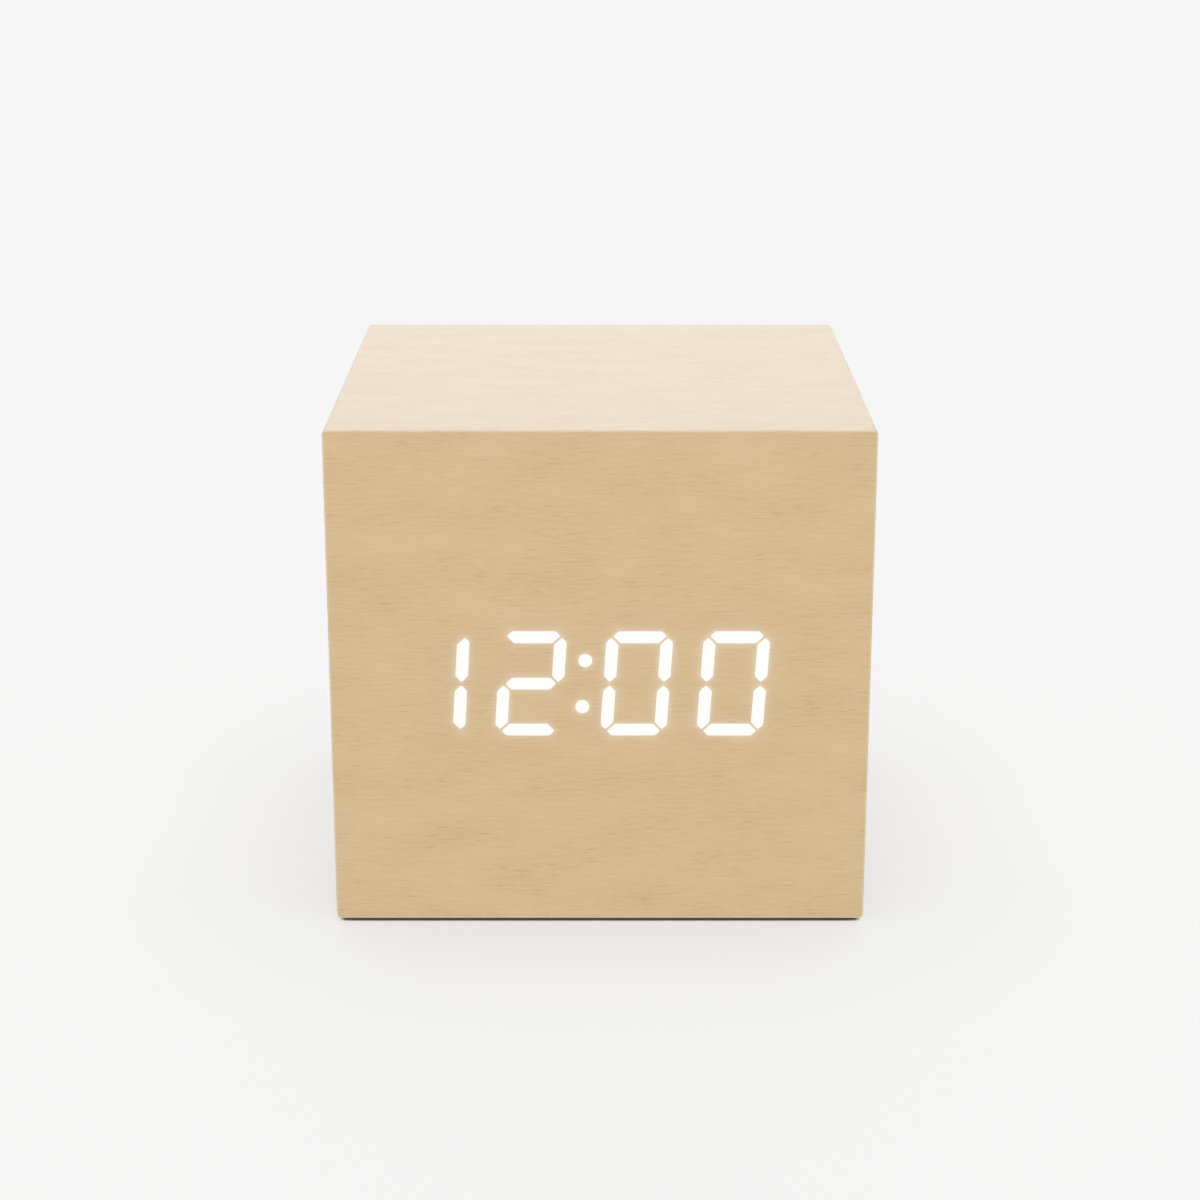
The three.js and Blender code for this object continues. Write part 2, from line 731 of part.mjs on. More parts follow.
function coverHoles() {
  const inner = -COVER_T - THROUGH;
  const tools = cornerPlaces(landX, landY).map(([x, y]) => sunkHole(COVER_T, x, y));
  for (const x of buttonPlaces()) {
    tools.push(rod(BUTTON_D + 2 * CLEARANCE, inner, THROUGH, x, BUTTON_RAISE));
  }
  for (const [x, y] of soundHolePlaces()) {
    tools.push(rod(SOUND_HOLE_D, inner, THROUGH, x, y, SMALL_SIDES));
  }
  for (const side of [-1, 1]) {
    const pilot = SCREW_D + 2 * PILOT_FIT;
    const bottom = keyBoardBack + BOARD_SCREW_L + PILOT_SPARE;
    tools.push(rod(pilot, -COVER_T - standoffL - THROUGH, bottom, side * keyBoardHoleX, 0, SMALL_SIDES));
  }
  const slotW = KNOB_W + KNOB_TRAVEL + 2 * CLEARANCE;
  tools.push(block(slotW, KNOB_H + 2 * CLEARANCE, inner, THROUGH, 0, LOWER_ROW));
  tools.push(rod(SOCKET_NOSE_D + 2 * CLEARANCE, inner, THROUGH, SOCKET_X, LOWER_ROW));
  return tools;
}

function pushButton(name, x) {
  const flangeTop = -COVER_T - CLEARANCE;
  const flangeBottom = flangeTop - BUTTON_FLANGE_T;
  const cap = turned([
    [0, flangeBottom - BUTTON_STEM_L],
    [PLUNGER_D / 2, flangeBottom - BUTTON_STEM_L],
    [PLUNGER_D / 2, flangeBottom],
    [BUTTON_D / 2 + BUTTON_FLANGE, flangeBottom],
    [BUTTON_D / 2 + BUTTON_FLANGE, flangeTop],
    [BUTTON_D / 2, flangeTop],
    [BUTTON_D / 2, BUTTON_PROUD - BUTTON_DISH],
    [BUTTON_D / 2 - BUTTON_DISH, BUTTON_PROUD],
    [BUTTON_D / 4, BUTTON_PROUD - BUTTON_DISH],
    [0, BUTTON_PROUD - BUTTON_DISH],
  ]);
  return placed(piece(name, cap, keyPlastic), x, BUTTON_RAISE, 0);
}

function keySwitch(name, x) {
  const base = keyBoardFace + SOLDER;
  const top = base + KEY_SWITCH_T;
  const boreDepth = PLUNGER_IN + BUTTON_TRAVEL + CLEARANCE;
  const body = block(KEY_SWITCH_W, KEY_SWITCH_W, base, top);
  const bore = rod(PLUNGER_D + 2 * CLEARANCE, top - boreDepth, top + THROUGH);
  return placed(piece(name, cut(body, bore), chipBlack), x, BUTTON_RAISE, 0);
}

function plunger(name, x) {
  const top = keyBoardFace + SOLDER + KEY_SWITCH_T;
  const body = rod(PLUNGER_D, top - PLUNGER_IN, top + PLUNGER_OUT);
  return placed(piece(name, body, keyPlastic), x, BUTTON_RAISE, 0);
}

function alarmSwitch() {
  const base = keyBoardFace + SOLDER;
  const top = base + SWITCH_T;
  const slotW = LEVER_W + KNOB_TRAVEL + 2 * CLEARANCE;
  const body = block(SWITCH_W, SWITCH_H, base, top);
  const slot = block(slotW, LEVER_W + 2 * CLEARANCE, top - LEVER_IN - CLEARANCE, top + THROUGH);
  return placed(piece("alarm_switch", cut(body, slot), brightSteel), 0, LOWER_ROW, 0);
}

// The knob rests at one end of its travel, and its shutter keeps the slot covered at both ends
function alarmKnob() {
  const switchTop = keyBoardFace + SOLDER + SWITCH_T;
  const shutterTop = -COVER_T - CLEARANCE;
  const shutterW = KNOB_W + 2 * (KNOB_TRAVEL + SHUTTER_LAP);
  const lever = block(LEVER_W, LEVER_W, switchTop - LEVER_IN, shutterTop);
  const shutter = block(shutterW, KNOB_H + 2 * SHUTTER_LAP, shutterTop - SHUTTER_T, shutterTop);
  const cap = block(KNOB_W, KNOB_H, shutterTop - SHUTTER_T, KNOB_PROUD);
  const grooves = [];
  for (let index = 1; index < KNOB_RIBS; index += 1) {
    const x = (index / KNOB_RIBS - 1 / 2) * KNOB_W;
    grooves.push(block(KNOB_GROOVE, KNOB_H + THROUGH, KNOB_PROUD - KNOB_GROOVE, KNOB_PROUD + THROUGH, x));
  }
  const body = cut(join(lever, shutter, cap), ...grooves);
  return placed(piece("alarm_knob", body, keyPlastic), -KNOB_TRAVEL / 2, LOWER_ROW, 0);
}

function keyBoard() {
  const plate = prism(rectangle(KEY_BOARD_W, KEY_BOARD_H, PCB_R), keyBoardBack, keyBoardFace);
  const holes = [-1, 1].map((side) => {
    const hole = SCREW_D + 2 * CLEARANCE;
    return rod(hole, keyBoardBack - THROUGH, keyBoardFace + THROUGH, side * keyBoardHoleX, 0, SMALL_SIDES);
  });
  return piece("key_board", cut(plate, ...holes), boardGreen);
}

// The socket's nose ends just under the cover's outer face, so that a plug meets the cover
function powerSocket() {
  const base = keyBoardFace + SOLDER;
  const shoulder = base + SOCKET_BASE_T;
  const mouth = -SOCKET_BELOW;
  const floor = mouth - SOCKET_BORE_L;
  const foot = block(SOCKET_BASE, SOCKET_BASE, base, shoulder);
  const nose = rod(SOCKET_NOSE_D, shoulder - SINK, mouth);
  const bore = rod(SOCKET_BORE_D, floor, mouth + THROUGH);
  const seat = rod(PIN_D + 2 * PILOT_FIT, floor - PIN_SEAT - PILOT_FIT, floor + THROUGH, 0, 0, SMALL_SIDES);
  const mesh = piece("power_socket", cut(join(foot, nose), bore, seat), blackPlastic);
  return placed(mesh, SOCKET_X, LOWER_ROW, 0);
}

function socketPin() {
  const floor = -SOCKET_BELOW - SOCKET_BORE_L;
  const tip = -SOCKET_BELOW - PIN_BELOW;
  const pin = turned([
    [0, floor - PIN_SEAT],
    [PIN_D / 2, floor - PIN_SEAT],
    [PIN_D / 2, tip - PIN_D / 4],
    [PIN_D / 4, tip],
    [0, tip],
  ], SMALL_SIDES);
  return placed(piece("socket_pin", pin, brightSteel), SOCKET_X, LOWER_ROW, 0);
}

function alarmBuzzer() {
  const base = keyBoardFace + SOLDER;
  const top = base + BUZZER_H;
  const can = rod(BUZZER_D, base, top);
  const mouth = rod(BUZZER_MOUTH_D, top - BUZZER_MOUTH_L, top + THROUGH, 0, 0, SMALL_SIDES);
  return placed(piece("alarm_buzzer", cut(can, mouth), chipBlack), BUZZER_X, LOWER_ROW, 0);
}

// Battery compartment, in a frame with Z = 0 at the case's underside

function cellRows() {
  return Array.from({ length: CELL_COUNT }, (_, index) => (index - (CELL_COUNT - 1) / 2) * cellPitch);
}

// Every other cell faces the other way: 1 has its positive end at +X, and -1 at -X
function cellFacing(index) {
  return index % 2 === 0 ? 1 : -1;
}

// The two ends of the string of cells, where the leads start
function positiveEnd() {
  return { side: cellFacing(0), row: cellRows()[0] };
}

function negativeEnd() {
  const last = CELL_COUNT - 1;
  return { side: -cellFacing(last), row: cellRows()[last] };
}

function batteryCell(index, y) {
  const radius = CELL_D / 2;
  const nubFoot = CELL_L - CELL_NUB_L;
  const body = turned([
    [0, 0],
    [radius - CELL_RIM_R, 0],
    [radius, CELL_RIM_R],
    [radius, nubFoot - CELL_RIM_R],
    [radius - CELL_RIM_R, nubFoot],
    [CELL_NUB_D / 2, nubFoot],
    [CELL_NUB_D / 2, CELL_L],
    [0, CELL_L],
  ]);
  const facing = cellFacing(index);
  const mesh = piece(`battery_cell_${index + 1}`, body, cellLabel);
  mesh.rotation.y = (facing * Math.PI) / 2;
  const tip = contactX - CONTACT_BUMP_H - TOUCH;
  return placed(mesh, facing * (tip - CELL_L), y, cellMiddle);
}

function trayScrewPlaces() {
  const y = trayW / 2 + FLANGE_Y / 2;
  return [[-TRAY_SCREW_X, -y], [TRAY_SCREW_X, y]];
}

function batteryTray() {
  const bayTop = trayTop - TRAY_ROOF;
  const shell = block(trayL, trayW, FLANGE_RECESS, trayTop);
  const flange = prism(rectangle(flangeL, flangeW, CAVITY_R), FLANGE_RECESS, FLANGE_RECESS + FLANGE_T);
  const mouth = block(mouthL, mouthW, -THROUGH, ledge);
  const bay = block(bayL, bayW, -THROUGH, bayTop);
  const pinSpan = mouthL / 2 - CLEARANCE + DOOR_PIN_L + DOOR_PIN_FIT;
  const pinHole = rodAlongX(DOOR_PIN_D + 2 * DOOR_PIN_FIT, -pinSpan, pinSpan, hingeY, hingeZ, SMALL_SIDES);
  const screwHoles = trayScrewPlaces().map(([x, y]) => traySinkHole(x, y));
  const open = cut(join(shell, flange), mouth, bay, pinHole, ...screwHoles);
  const body = cut(join(open, ...cellRidges(), ...endRibs()), ...tabSlots());
  return piece("battery_tray", body, blackPlastic);
}

// Ridges under the roof that keep neighbouring cells apart and stop short of the contacts
function cellRidges() {
  const bayTop = trayTop - TRAY_ROOF;
  const length = bayL - 2 * (CONTACT_T + SPRING_L + CLEARANCE);
  return cellRows().slice(1).map((row) => {
    return block(length, RIDGE_W, bayTop - RIDGE_DROP, bayTop + SINK, 0, row - cellPitch / 2);
  });
}

// Ribs that part each end's contacts, on the end wall where no contact links two rows
function endRibs() {
  const width = cellPitch - CONTACT_W - 2 * CLEARANCE;
  const rows = cellRows();
  const ribs = [];
  for (let index = 1; index < CELL_COUNT; index += 1) {
    const x = (-cellFacing(index) * (bayL - END_RIB_T + SINK)) / 2;
    const y = rows[index] - cellPitch / 2;
    ribs.push(block(END_RIB_T + SINK, width, ledge, trayTop - TRAY_ROOF + SINK, x, y));
  }
  return ribs;
}

// A screw hole sunk into the flange from below
function traySinkHole(x, y) {
  const radius = SCREW_D / 2 + PILOT_FIT;
  const headRadius = SCREW_HEAD_D / 2 + PILOT_FIT;
  const tool = new THREE.LatheGeometry([
    new THREE.Vector2(0, -THROUGH),
    new THREE.Vector2(headRadius, -THROUGH),
    new THREE.Vector2(headRadius, FLANGE_RECESS + PILOT_FIT),
    new THREE.Vector2(radius, FLANGE_RECESS + SCREW_HEAD_T + PILOT_FIT),
    new THREE.Vector2(radius, FLANGE_T + THROUGH),
    new THREE.Vector2(0, FLANGE_T + THROUGH),
  ], SMALL_SIDES);
  return solid(tool.rotateX(Math.PI / 2).translate(x, y, 0));
}

// Slots in the roof for the solder tabs of the two end contacts
function tabSlots() {
  const length = CONTACT_T + 2 * GLUE + CLEARANCE;
  const x = contactX + CONTACT_T / 2;
  const ends = [positiveEnd(), negativeEnd()];
  return ends.map(({ side, row }) => {
    const width = TAB_W + 2 * CLEARANCE;
    return block(length, width, trayTop - TRAY_ROOF - THROUGH, trayTop + THROUGH, side * x, row);
  });
}

// A conical spring's centre line, from its wide end on a plate to its tip at the cell
class SpringLine extends THREE.Curve {
  getPoint(t, target = new THREE.Vector3()) {
    const angle = t * SPRING_TURNS * 2 * Math.PI;
    const radius = THREE.MathUtils.lerp(SPRING_BASE_D, SPRING_TIP_D, t) / 2;
    const along = t * (SPRING_L - SPRING_WIRE_D);
    return target.set(radius * Math.cos(angle), radius * Math.sin(angle), along);
  }
}

// Least space between a spring's curls, measured between points more than half a turn apart
function leastCurlGap() {
  const steps = Math.round(SPRING_TURNS * COIL_STEPS * 2);
  const points = new SpringLine().getPoints(steps);
  let least = Infinity;
  for (let first = 0; first <= steps; first += 1) {
    for (let second = first + COIL_STEPS; second <= steps; second += 1) {
      least = Math.min(least, points[first].distanceTo(points[second]));
    }
  }
  return least - SPRING_WIRE_D;
}

// A coil standing on a contact plate whose face is at Z = 0, sunk into it by half a wire
function springCoil(y) {
  const coil = new THREE.ExtrudeGeometry(wireOutline(SPRING_WIRE_D, COIL_SIDES), {
    steps: Math.round(SPRING_TURNS * COIL_STEPS),
    extrudePath: new SpringLine(),
  });
  return solid(coil.translate(0, y, SPRING_WIRE_D / 4));
}

function contactPlate(width, y) {
  return prism(rectangle(CONTACT_H, width, CONTACT_R), -CONTACT_T, 0, 0, y);
}

function contactBump(y) {
  const cone = new THREE.CylinderGeometry(
    CONTACT_BUMP_D / 4,
    CONTACT_BUMP_D / 2,
    CONTACT_BUMP_H + CONTACT_T / 2,
    SMALL_SIDES,
  );
  return solid(cone.rotateX(Math.PI / 2).translate(0, y, (CONTACT_BUMP_H - CONTACT_T / 2) / 2));
}

// A strip above the plate that goes up through the tray's roof to take a lead
function solderTab(y) {
  const reach = trayTop + TAB_OUT - cellMiddle;
  return block(reach, TAB_W, -CONTACT_T, 0, reach / 2, y);
}

// A contact faces along the bay: side 1 stands at the +X end and side -1, turned about, at the -X end
function contact(name, body, side) {
  const mesh = piece(name, body, springSteel);
  mesh.rotation.y = -Math.PI / 2;
  const holder = new THREE.Group();
  holder.rotation.z = side === 1 ? 0 : Math.PI;
  holder.position.set(side * contactX, 0, cellMiddle);
  holder.add(mesh);
  return holder;
}

// Two rows joined at one end: a spring for one cell and a bump for the next
function linkContact(name, springRow, bumpRow, side) {
  const plate = contactPlate(cellPitch + CONTACT_W, (side * (springRow + bumpRow)) / 2);
  return contact(name, join(plate, springCoil(side * springRow), contactBump(side * bumpRow)), side);
}

function endContact(name, { side, row }, terminal) {
  const plate = contactPlate(CONTACT_W, side * row);
  return contact(name, join(plate, terminal(side * row), solderTab(side * row)), side);
}

function batteryContacts() {
  const rows = cellRows();
  const contacts = [
    endContact("positive_contact", positiveEnd(), contactBump),
    endContact("negative_contact", negativeEnd(), springCoil),
  ];
  for (let index = 1; index < CELL_COUNT; index += 1) {
    contacts.push(linkContact(`link_contact_${index}`, rows[index - 1], rows[index], cellFacing(index)));
  }
  return contacts;
}

// The door turns on two pins at its rear edge, and a tongue at its front edge snaps it shut
function batteryDoor() {
  const length = mouthL - 2 * CLEARANCE;
  const front = CLEARANCE - mouthW / 2;
  const outline = new THREE.Shape();
  outline.moveTo(front, DOOR_RECESS);
  outline.lineTo(hingeY, DOOR_RECESS);
  outline.absarc(hingeY, hingeZ, DOOR_T / 2, -Math.PI / 2, Math.PI / 2);
  outline.lineTo(front, DOOR_RECESS + DOOR_T);
  outline.closePath();
  const plate = new THREE.ExtrudeGeometry(outline, {
    depth: length,
    bevelEnabled: false,
    curveSegments: 2 * ARC_STEPS,
  });
  plate.translate(0, 0, -length / 2).rotateY(Math.PI / 2).rotateX(Math.PI / 2);
  const pinReach = length / 2 + DOOR_PIN_L;
  const pins = rodAlongX(DOOR_PIN_D, -pinReach, pinReach, hingeY, hingeZ, SMALL_SIDES);
  const slots = [-1, 1].map((side) => {
    const x = (side * (LATCH_W + LATCH_SLOT)) / 2;
    const y = front + (LATCH_L - THROUGH) / 2;
    return block(LATCH_SLOT, LATCH_L + THROUGH, -THROUGH, ledge + THROUGH, x, y);
  });
  const notchY = front + LATCH_L + LATCH_NOTCH_D * LATCH_NOTCH_PLACE;
  const notch = rod(LATCH_NOTCH_D, -THROUGH, DOOR_RECESS + LATCH_NOTCH_DEPTH, 0, notchY);
  return piece("battery_door", cut(join(solid(plate), pins), ...slots, notch), blackPlastic);
}

// Internal wiring, in the clock's own frame

function swept(outline, path) {
  return solid(new THREE.ExtrudeGeometry(outline, { steps: WIRE_STEPS, extrudePath: path }));
}

function ribbonCable() {
  const start = WIRE_GAP - boardBack;
  const end = coverFace + keyBoardBack - WIRE_GAP;
  const startZ = caseMiddle - DISPLAY_DROP + displayBoardH / 2 - RIBBON_EDGE;
  const endZ = caseMiddle + KEY_BOARD_H / 2 - RIBBON_EDGE;
  const bend = (end - start) / 3;
  const path = new THREE.CubicBezierCurve3(
    new THREE.Vector3(0, start, startZ),
    new THREE.Vector3(0, start + bend, startZ),
    new THREE.Vector3(0, end - bend, endZ),
    new THREE.Vector3(0, end, endZ),
  );
  return piece("ribbon_cable", swept(rectangle(RIBBON_W, RIBBON_T), path), ribbonGrey);
}

function batteryLead(name, { side, row }, material) {
  const startX = side * (contactX + CONTACT_T / 2);
  const startZ = FOOT_PROUD + trayTop + TAB_OUT + WIRE_GAP;
  const endY = coverFace + keyBoardBack - WIRE_GAP;
  const endZ = caseMiddle - KEY_BOARD_H / 2 + RIBBON_EDGE;
  const path = new THREE.CubicBezierCurve3(
    new THREE.Vector3(startX, row, startZ),
    new THREE.Vector3(startX, row, startZ + LEAD_RISE),
    new THREE.Vector3(side * LEAD_X, endY - LEAD_RUN, endZ),
    new THREE.Vector3(side * LEAD_X, endY, endZ),
  );
  return piece(name, swept(wireOutline(LEAD_D, WIRE_SIDES), path), material);
}

// Assembly

function displayAssembly() {
  const group = new THREE.Group();
  const module = new THREE.Group();
  module.position.set(displayX, -DISPLAY_DROP, panelFront);
  module.add(displayHousing(), colonGuide());
  digitPlaces().forEach((x, index) => module.add(digitGuide(index + 1, x)));
  group.add(module, displayBoard(), clockChip(), watchCrystal());
  boardScrewPlaces().forEach(([x, y], index) => {
    const screw = panScrew(`board_screw_${index + 1}`, BOARD_SCREW_L, brightSteel);
    screw.rotation.y = Math.PI;
    group.add(placed(screw, x, y, boardBack - SCREW_HEAD_T - GLUE), boardSpacer(index + 1, x, y));
  });
  return group;
}

function frontAssembly() {
  const group = new THREE.Group();
  group.rotation.x = Math.PI / 2;
  group.position.z = caseMiddle;
  group.add(caseSleeve(), frontBoard(), frontFilm(), displayAssembly());
  return group;
}

function rearAssembly() {
  const group = new THREE.Group();
  group.rotation.set(Math.PI / 2, Math.PI, 0);
  group.position.set(0, coverFace, caseMiddle);
  group.add(rearCover(), keyBoard(), alarmSwitch(), alarmKnob(), powerSocket(), socketPin(), alarmBuzzer());
  cornerPlaces(landX, landY).forEach(([x, y], index) => {
    const screw = flatScrew(`cover_screw_${index + 1}`, COVER_SCREW_L, blackSteel);
    group.add(placed(screw, x, y, -PILOT_FIT));
  });
  ["set", "up", "down"].forEach((name, index) => {
    const x = buttonPlaces()[index];
    group.add(pushButton(`${name}_button`, x), keySwitch(`${name}_switch`, x), plunger(`${name}_plunger`, x));
  });
  [-1, 1].forEach((side, index) => {
    const screw = panScrew(`key_board_screw_${index + 1}`, BOARD_SCREW_L, brightSteel);
    screw.rotation.y = Math.PI;
    group.add(placed(screw, side * keyBoardHoleX, 0, keyBoardBack - SCREW_HEAD_T - GLUE));
  });
  return group;
}

function batteryAssembly() {
  const group = new THREE.Group();
  group.position.z = FOOT_PROUD;
  group.add(batteryTray(), batteryDoor(), ...batteryContacts());
  cellRows().forEach((y, index) => group.add(batteryCell(index, y)));
  trayScrewPlaces().forEach(([x, y], index) => {
    const screw = flatScrew(`tray_screw_${index + 1}`, TRAY_SCREW_L, blackSteel);
    screw.rotation.x = Math.PI;
    group.add(placed(screw, x, y, FLANGE_RECESS + PILOT_FIT));
  });
  return group;
}

function alarmClock() {
  const clock = new THREE.Group();
  clock.name = "alarm_clock";
  clock.add(frontAssembly(), rearAssembly(), batteryAssembly(), ribbonCable());
  clock.add(batteryLead("positive_lead", positiveEnd(), redSleeve));
  clock.add(batteryLead("negative_lead", negativeEnd(), blackSleeve));
  footPlaces().forEach(([x, y], index) => clock.add(footPad(index + 1, x, y)));
  return clock;
}

console.log(`least gap between spring curls: ${leastCurlGap().toFixed(2)} mm`);

export default alarmClock();
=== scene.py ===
import math

import bmesh
import bpy
import numpy as np
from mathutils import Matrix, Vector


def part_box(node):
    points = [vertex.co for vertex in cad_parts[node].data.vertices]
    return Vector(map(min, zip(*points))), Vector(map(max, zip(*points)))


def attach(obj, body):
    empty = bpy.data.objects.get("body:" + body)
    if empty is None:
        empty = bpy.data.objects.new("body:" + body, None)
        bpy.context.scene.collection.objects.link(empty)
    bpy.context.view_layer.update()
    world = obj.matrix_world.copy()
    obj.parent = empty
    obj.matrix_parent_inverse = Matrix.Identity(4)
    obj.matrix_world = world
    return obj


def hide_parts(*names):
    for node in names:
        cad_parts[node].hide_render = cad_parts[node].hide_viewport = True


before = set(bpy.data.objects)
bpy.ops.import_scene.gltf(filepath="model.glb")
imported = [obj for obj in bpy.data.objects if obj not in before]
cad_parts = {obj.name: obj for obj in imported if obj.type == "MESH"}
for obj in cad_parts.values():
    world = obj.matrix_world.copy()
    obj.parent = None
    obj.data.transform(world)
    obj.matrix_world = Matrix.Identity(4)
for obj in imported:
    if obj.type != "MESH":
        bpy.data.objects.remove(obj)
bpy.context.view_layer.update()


# Case sleeve
# One strip of fibreboard, grooved, folded into four walls and glued at its mitres. A wood-print film
# was laid on before the folding, so the print runs across the top and on down both sides.

MM = 0.001
WALL = 5 * MM
CORNER = 0.6 * MM
SKIN = 0.05 * MM
SLEEVE_EASE = 0.12 * MM
SHARP = math.radians(38)
WOOD_PALE = "#dec297"
WOOD_DARK = "#d4b486"
WOOD_PORE = "#bc9467"
# Painted light: the sleeve's print tones are a little yellower than the front's, a tint that stands in for
# the colour of the light on the top; the print itself is the same all round.
SLEEVE_PALE_LIGHT_TINT = "#dfc698"
SLEEVE_DARK_LIGHT_TINT = "#d5b887"
# Painted highlight: a paler print tone laid in a thin band along the eased edges of the sleeve and the front
# film.
EDGE_HIGHLIGHT_PALE = "#ead9bd"
EDGE_BAND = 0.3 * MM
EDGE_HIGHLIGHT_SHARE = 0.8
VARNISH = 0.33
VARNISH_ROUGH = 0.35
GRAIN_SWAYS = (170, 170, 170)
GRAIN_SWAY = 0.5 * MM
GRAIN_PATCHES = (85, 220, 220)
GRAIN_STREAKS = (310, 2700, 2700)
GRAIN_TICKS = (420, 3700, 3700)
STREAK_SHARE = 0.43
FILM_RELIEF = 0.006 * MM
FIBRE_PALE = "#c8a97f"
FIBRE_DARK = "#97744b"
FIBRE_MOTTLE = (900, 900, 900)
FIBRE_FLECKS = (2600, 2600, 2600)
FIBRE_ROUGH = 0.9
WELD = 0.002 * MM
FLAT = math.radians(0.5)


def paint(code):
    """The linear colour of a hex code, as a colour socket takes it."""
    parts = [int(code[start:start + 2], 16) / 255 for start in (1, 3, 5)]
    linear = [part / 12.92 if part <= 0.04045 else ((part + 0.055) / 1.055) ** 2.4 for part in parts]
    return (*linear, 1.0)


def feed(tree, node, inputs):
    """Links each named or numbered input of a node to a socket, or gives it a value."""
    for key, value in inputs.items():
        socket = node.inputs[key]
        if isinstance(value, bpy.types.NodeSocket):
            tree.links.new(value, socket)
        else:
            socket.default_value = value


def add_node(tree, kind, inputs=None, **settings):
    """A new node with its settings and its inputs."""
    node = tree.nodes.new(kind)
    for name, value in settings.items():
        setattr(node, name, value)
    feed(tree, node, inputs or {})
    return node


def maths(tree, operation, first, second=0.0):
    """One operation on one or two numbers."""
    return add_node(tree, "ShaderNodeMath", {0: first, 1: second}, operation=operation).outputs[0]


def product(tree, first, *others):
    """Numbers multiplied together."""
    result = first
    for other in others:
        result = maths(tree, "MULTIPLY", result, other)
    return result


def remap(tree, value, low, high, to_low=0.0, to_high=1.0):
    """A number moved from one range to another and kept inside it."""
    limits = {"Value": value, "From Min": low, "From Max": high, "To Min": to_low, "To Max": to_high}
    return add_node(tree, "ShaderNodeMapRange", limits).outputs["Result"]


def mix_value(tree, factor, first, second):
    """The first number where the factor is 0 and the second where it is 1."""
    return add_node(tree, "ShaderNodeMix", {0: factor, 2: first, 3: second}).outputs[0]


def mix_color(tree, factor, first, second):
    """The first colour where the factor is 0 and the second where it is 1."""
    node = add_node(tree, "ShaderNodeMix", {0: factor, 6: first, 7: second}, data_type="RGBA")
    return node.outputs[2]


def split(tree, place):
    """The X, Y and Z of a vector."""
    return add_node(tree, "ShaderNodeSeparateXYZ", {0: place}).outputs


def noise(tree, place, per_metre, detail):
    """Smooth noise with so many features to the metre along X, Y and Z, and so many finer layers."""
    spread = add_node(tree, "ShaderNodeVectorMath", {0: place, 1: per_metre}, operation="MULTIPLY")
    inputs = {"Vector": spread.outputs[0], "Scale": 1.0, "Detail": detail}
    return add_node(tree, "ShaderNodeTexNoise", inputs).outputs["Fac"]


def new_group(name, vector, colors, values):
    """A shader group that takes a vector and colours, and puts out a colour and some values."""
    group = bpy.data.node_groups.new(name, "ShaderNodeTree")
    given = {vector: "NodeSocketVector", **{label: "NodeSocketColor" for label in colors}}
    result = {"Color": "NodeSocketColor", **{label: "NodeSocketFloat" for label in values}}
    for way, sockets in (("INPUT", given), ("OUTPUT", result)):
        for label, kind in sockets.items():
            group.interface.new_socket(label, in_out=way, socket_type=kind)
    return group, add_node(group, "NodeGroupInput").outputs, add_node(group, "NodeGroupOutput")


def new_finish(name):
    """A material, its tree, its shader and the Object coordinates that its pattern is laid on."""
    finish = bpy.data.materials.new(name)
    finish.use_nodes = True
    tree = finish.node_tree
    place = add_node(tree, "ShaderNodeTexCoord").outputs["Object"]
    return finish, tree, tree.nodes["Principled BSDF"], place


def add_bump(tree, shader, height, depth):
    """Raises a surface by a pattern from 0 to 1 that is so deep."""
    bump = add_node(tree, "ShaderNodeBump", {"Height": height, "Distance": depth, "Strength": 1.0})
    feed(tree, shader, {"Normal": bump.outputs["Normal"]})


def make_wood_print():
    """A printed grain: short fine streaks, with pale and dark ticks, along X of the vector it is given."""
    group, given, result = new_group(
        "wood_print", "Grain", ("Pale", "Dark", "Pore"), ("Roughness", "Height"),
    )
    sway = product(group, noise(group, given["Grain"], GRAIN_SWAYS, 1), GRAIN_SWAY)
    sway = add_node(group, "ShaderNodeCombineXYZ", {"Y": sway}).outputs[0]
    grain = add_node(group, "ShaderNodeVectorMath", {0: given["Grain"], 1: sway}, operation="ADD").outputs[0]
    patches = noise(group, grain, GRAIN_PATCHES, 4)
    streaks = noise(group, grain, GRAIN_STREAKS, 3)
    ticks = noise(group, grain, GRAIN_TICKS, 1.5)
    tone = mix_value(group, STREAK_SHARE, patches, streaks)
    ground = mix_color(group, remap(group, tone, 0.31, 0.69), given["Dark"], given["Pale"])
    ground = mix_color(group, remap(group, ticks, 0.42, 0.26, 0.0, 0.8), ground, given["Pale"])
    pore = remap(group, ticks, 0.57, 0.78, 0.0, 0.6)
    pore = product(group, pore, remap(group, patches, 0.38, 0.62, 1.0, 0.25))
    feed(group, result, {
        "Color": mix_color(group, pore, ground, given["Pore"]),
        "Roughness": remap(group, streaks, 0.3, 0.7, 0.46, 0.38),
        "Height": maths(group, "SUBTRACT", streaks, pore),
    })
    return group


def wood_on(tree, grain, pale, dark):
    """The printed grain in a material, in tones of its own."""
    return add_node(tree, "ShaderNodeGroup", {
        "Grain": grain,
        "Pale": paint(pale),
        "Dark": paint(dark),
        "Pore": paint(WOOD_PORE),
    }, node_tree=wood_print).outputs


def make_pressed_fibre():
    """Raw fibreboard: a fine mottle with darker flecks."""
    group, given, result = new_group("pressed_fibre", "Place", ("Pale", "Dark"), ("Height",))
    mottle = noise(group, given["Place"], FIBRE_MOTTLE, 4)
    flecks = noise(group, given["Place"], FIBRE_FLECKS, 1)
    ground = mix_color(group, remap(group, mottle, 0.35, 0.65), given["Dark"], given["Pale"])
    fleck = remap(group, flecks, 0.62, 0.74, 0.0, 0.6)
    feed(group, result, {"Color": mix_color(group, fleck, ground, given["Dark"]), "Height": flecks})
    return group


def fibre_on(tree, place):
    """The raw fibreboard in a material."""
    inputs = {"Place": place, "Pale": paint(FIBRE_PALE), "Dark": paint(FIBRE_DARK)}
    return add_node(tree, "ShaderNodeGroup", inputs, node_tree=pressed_fibre).outputs


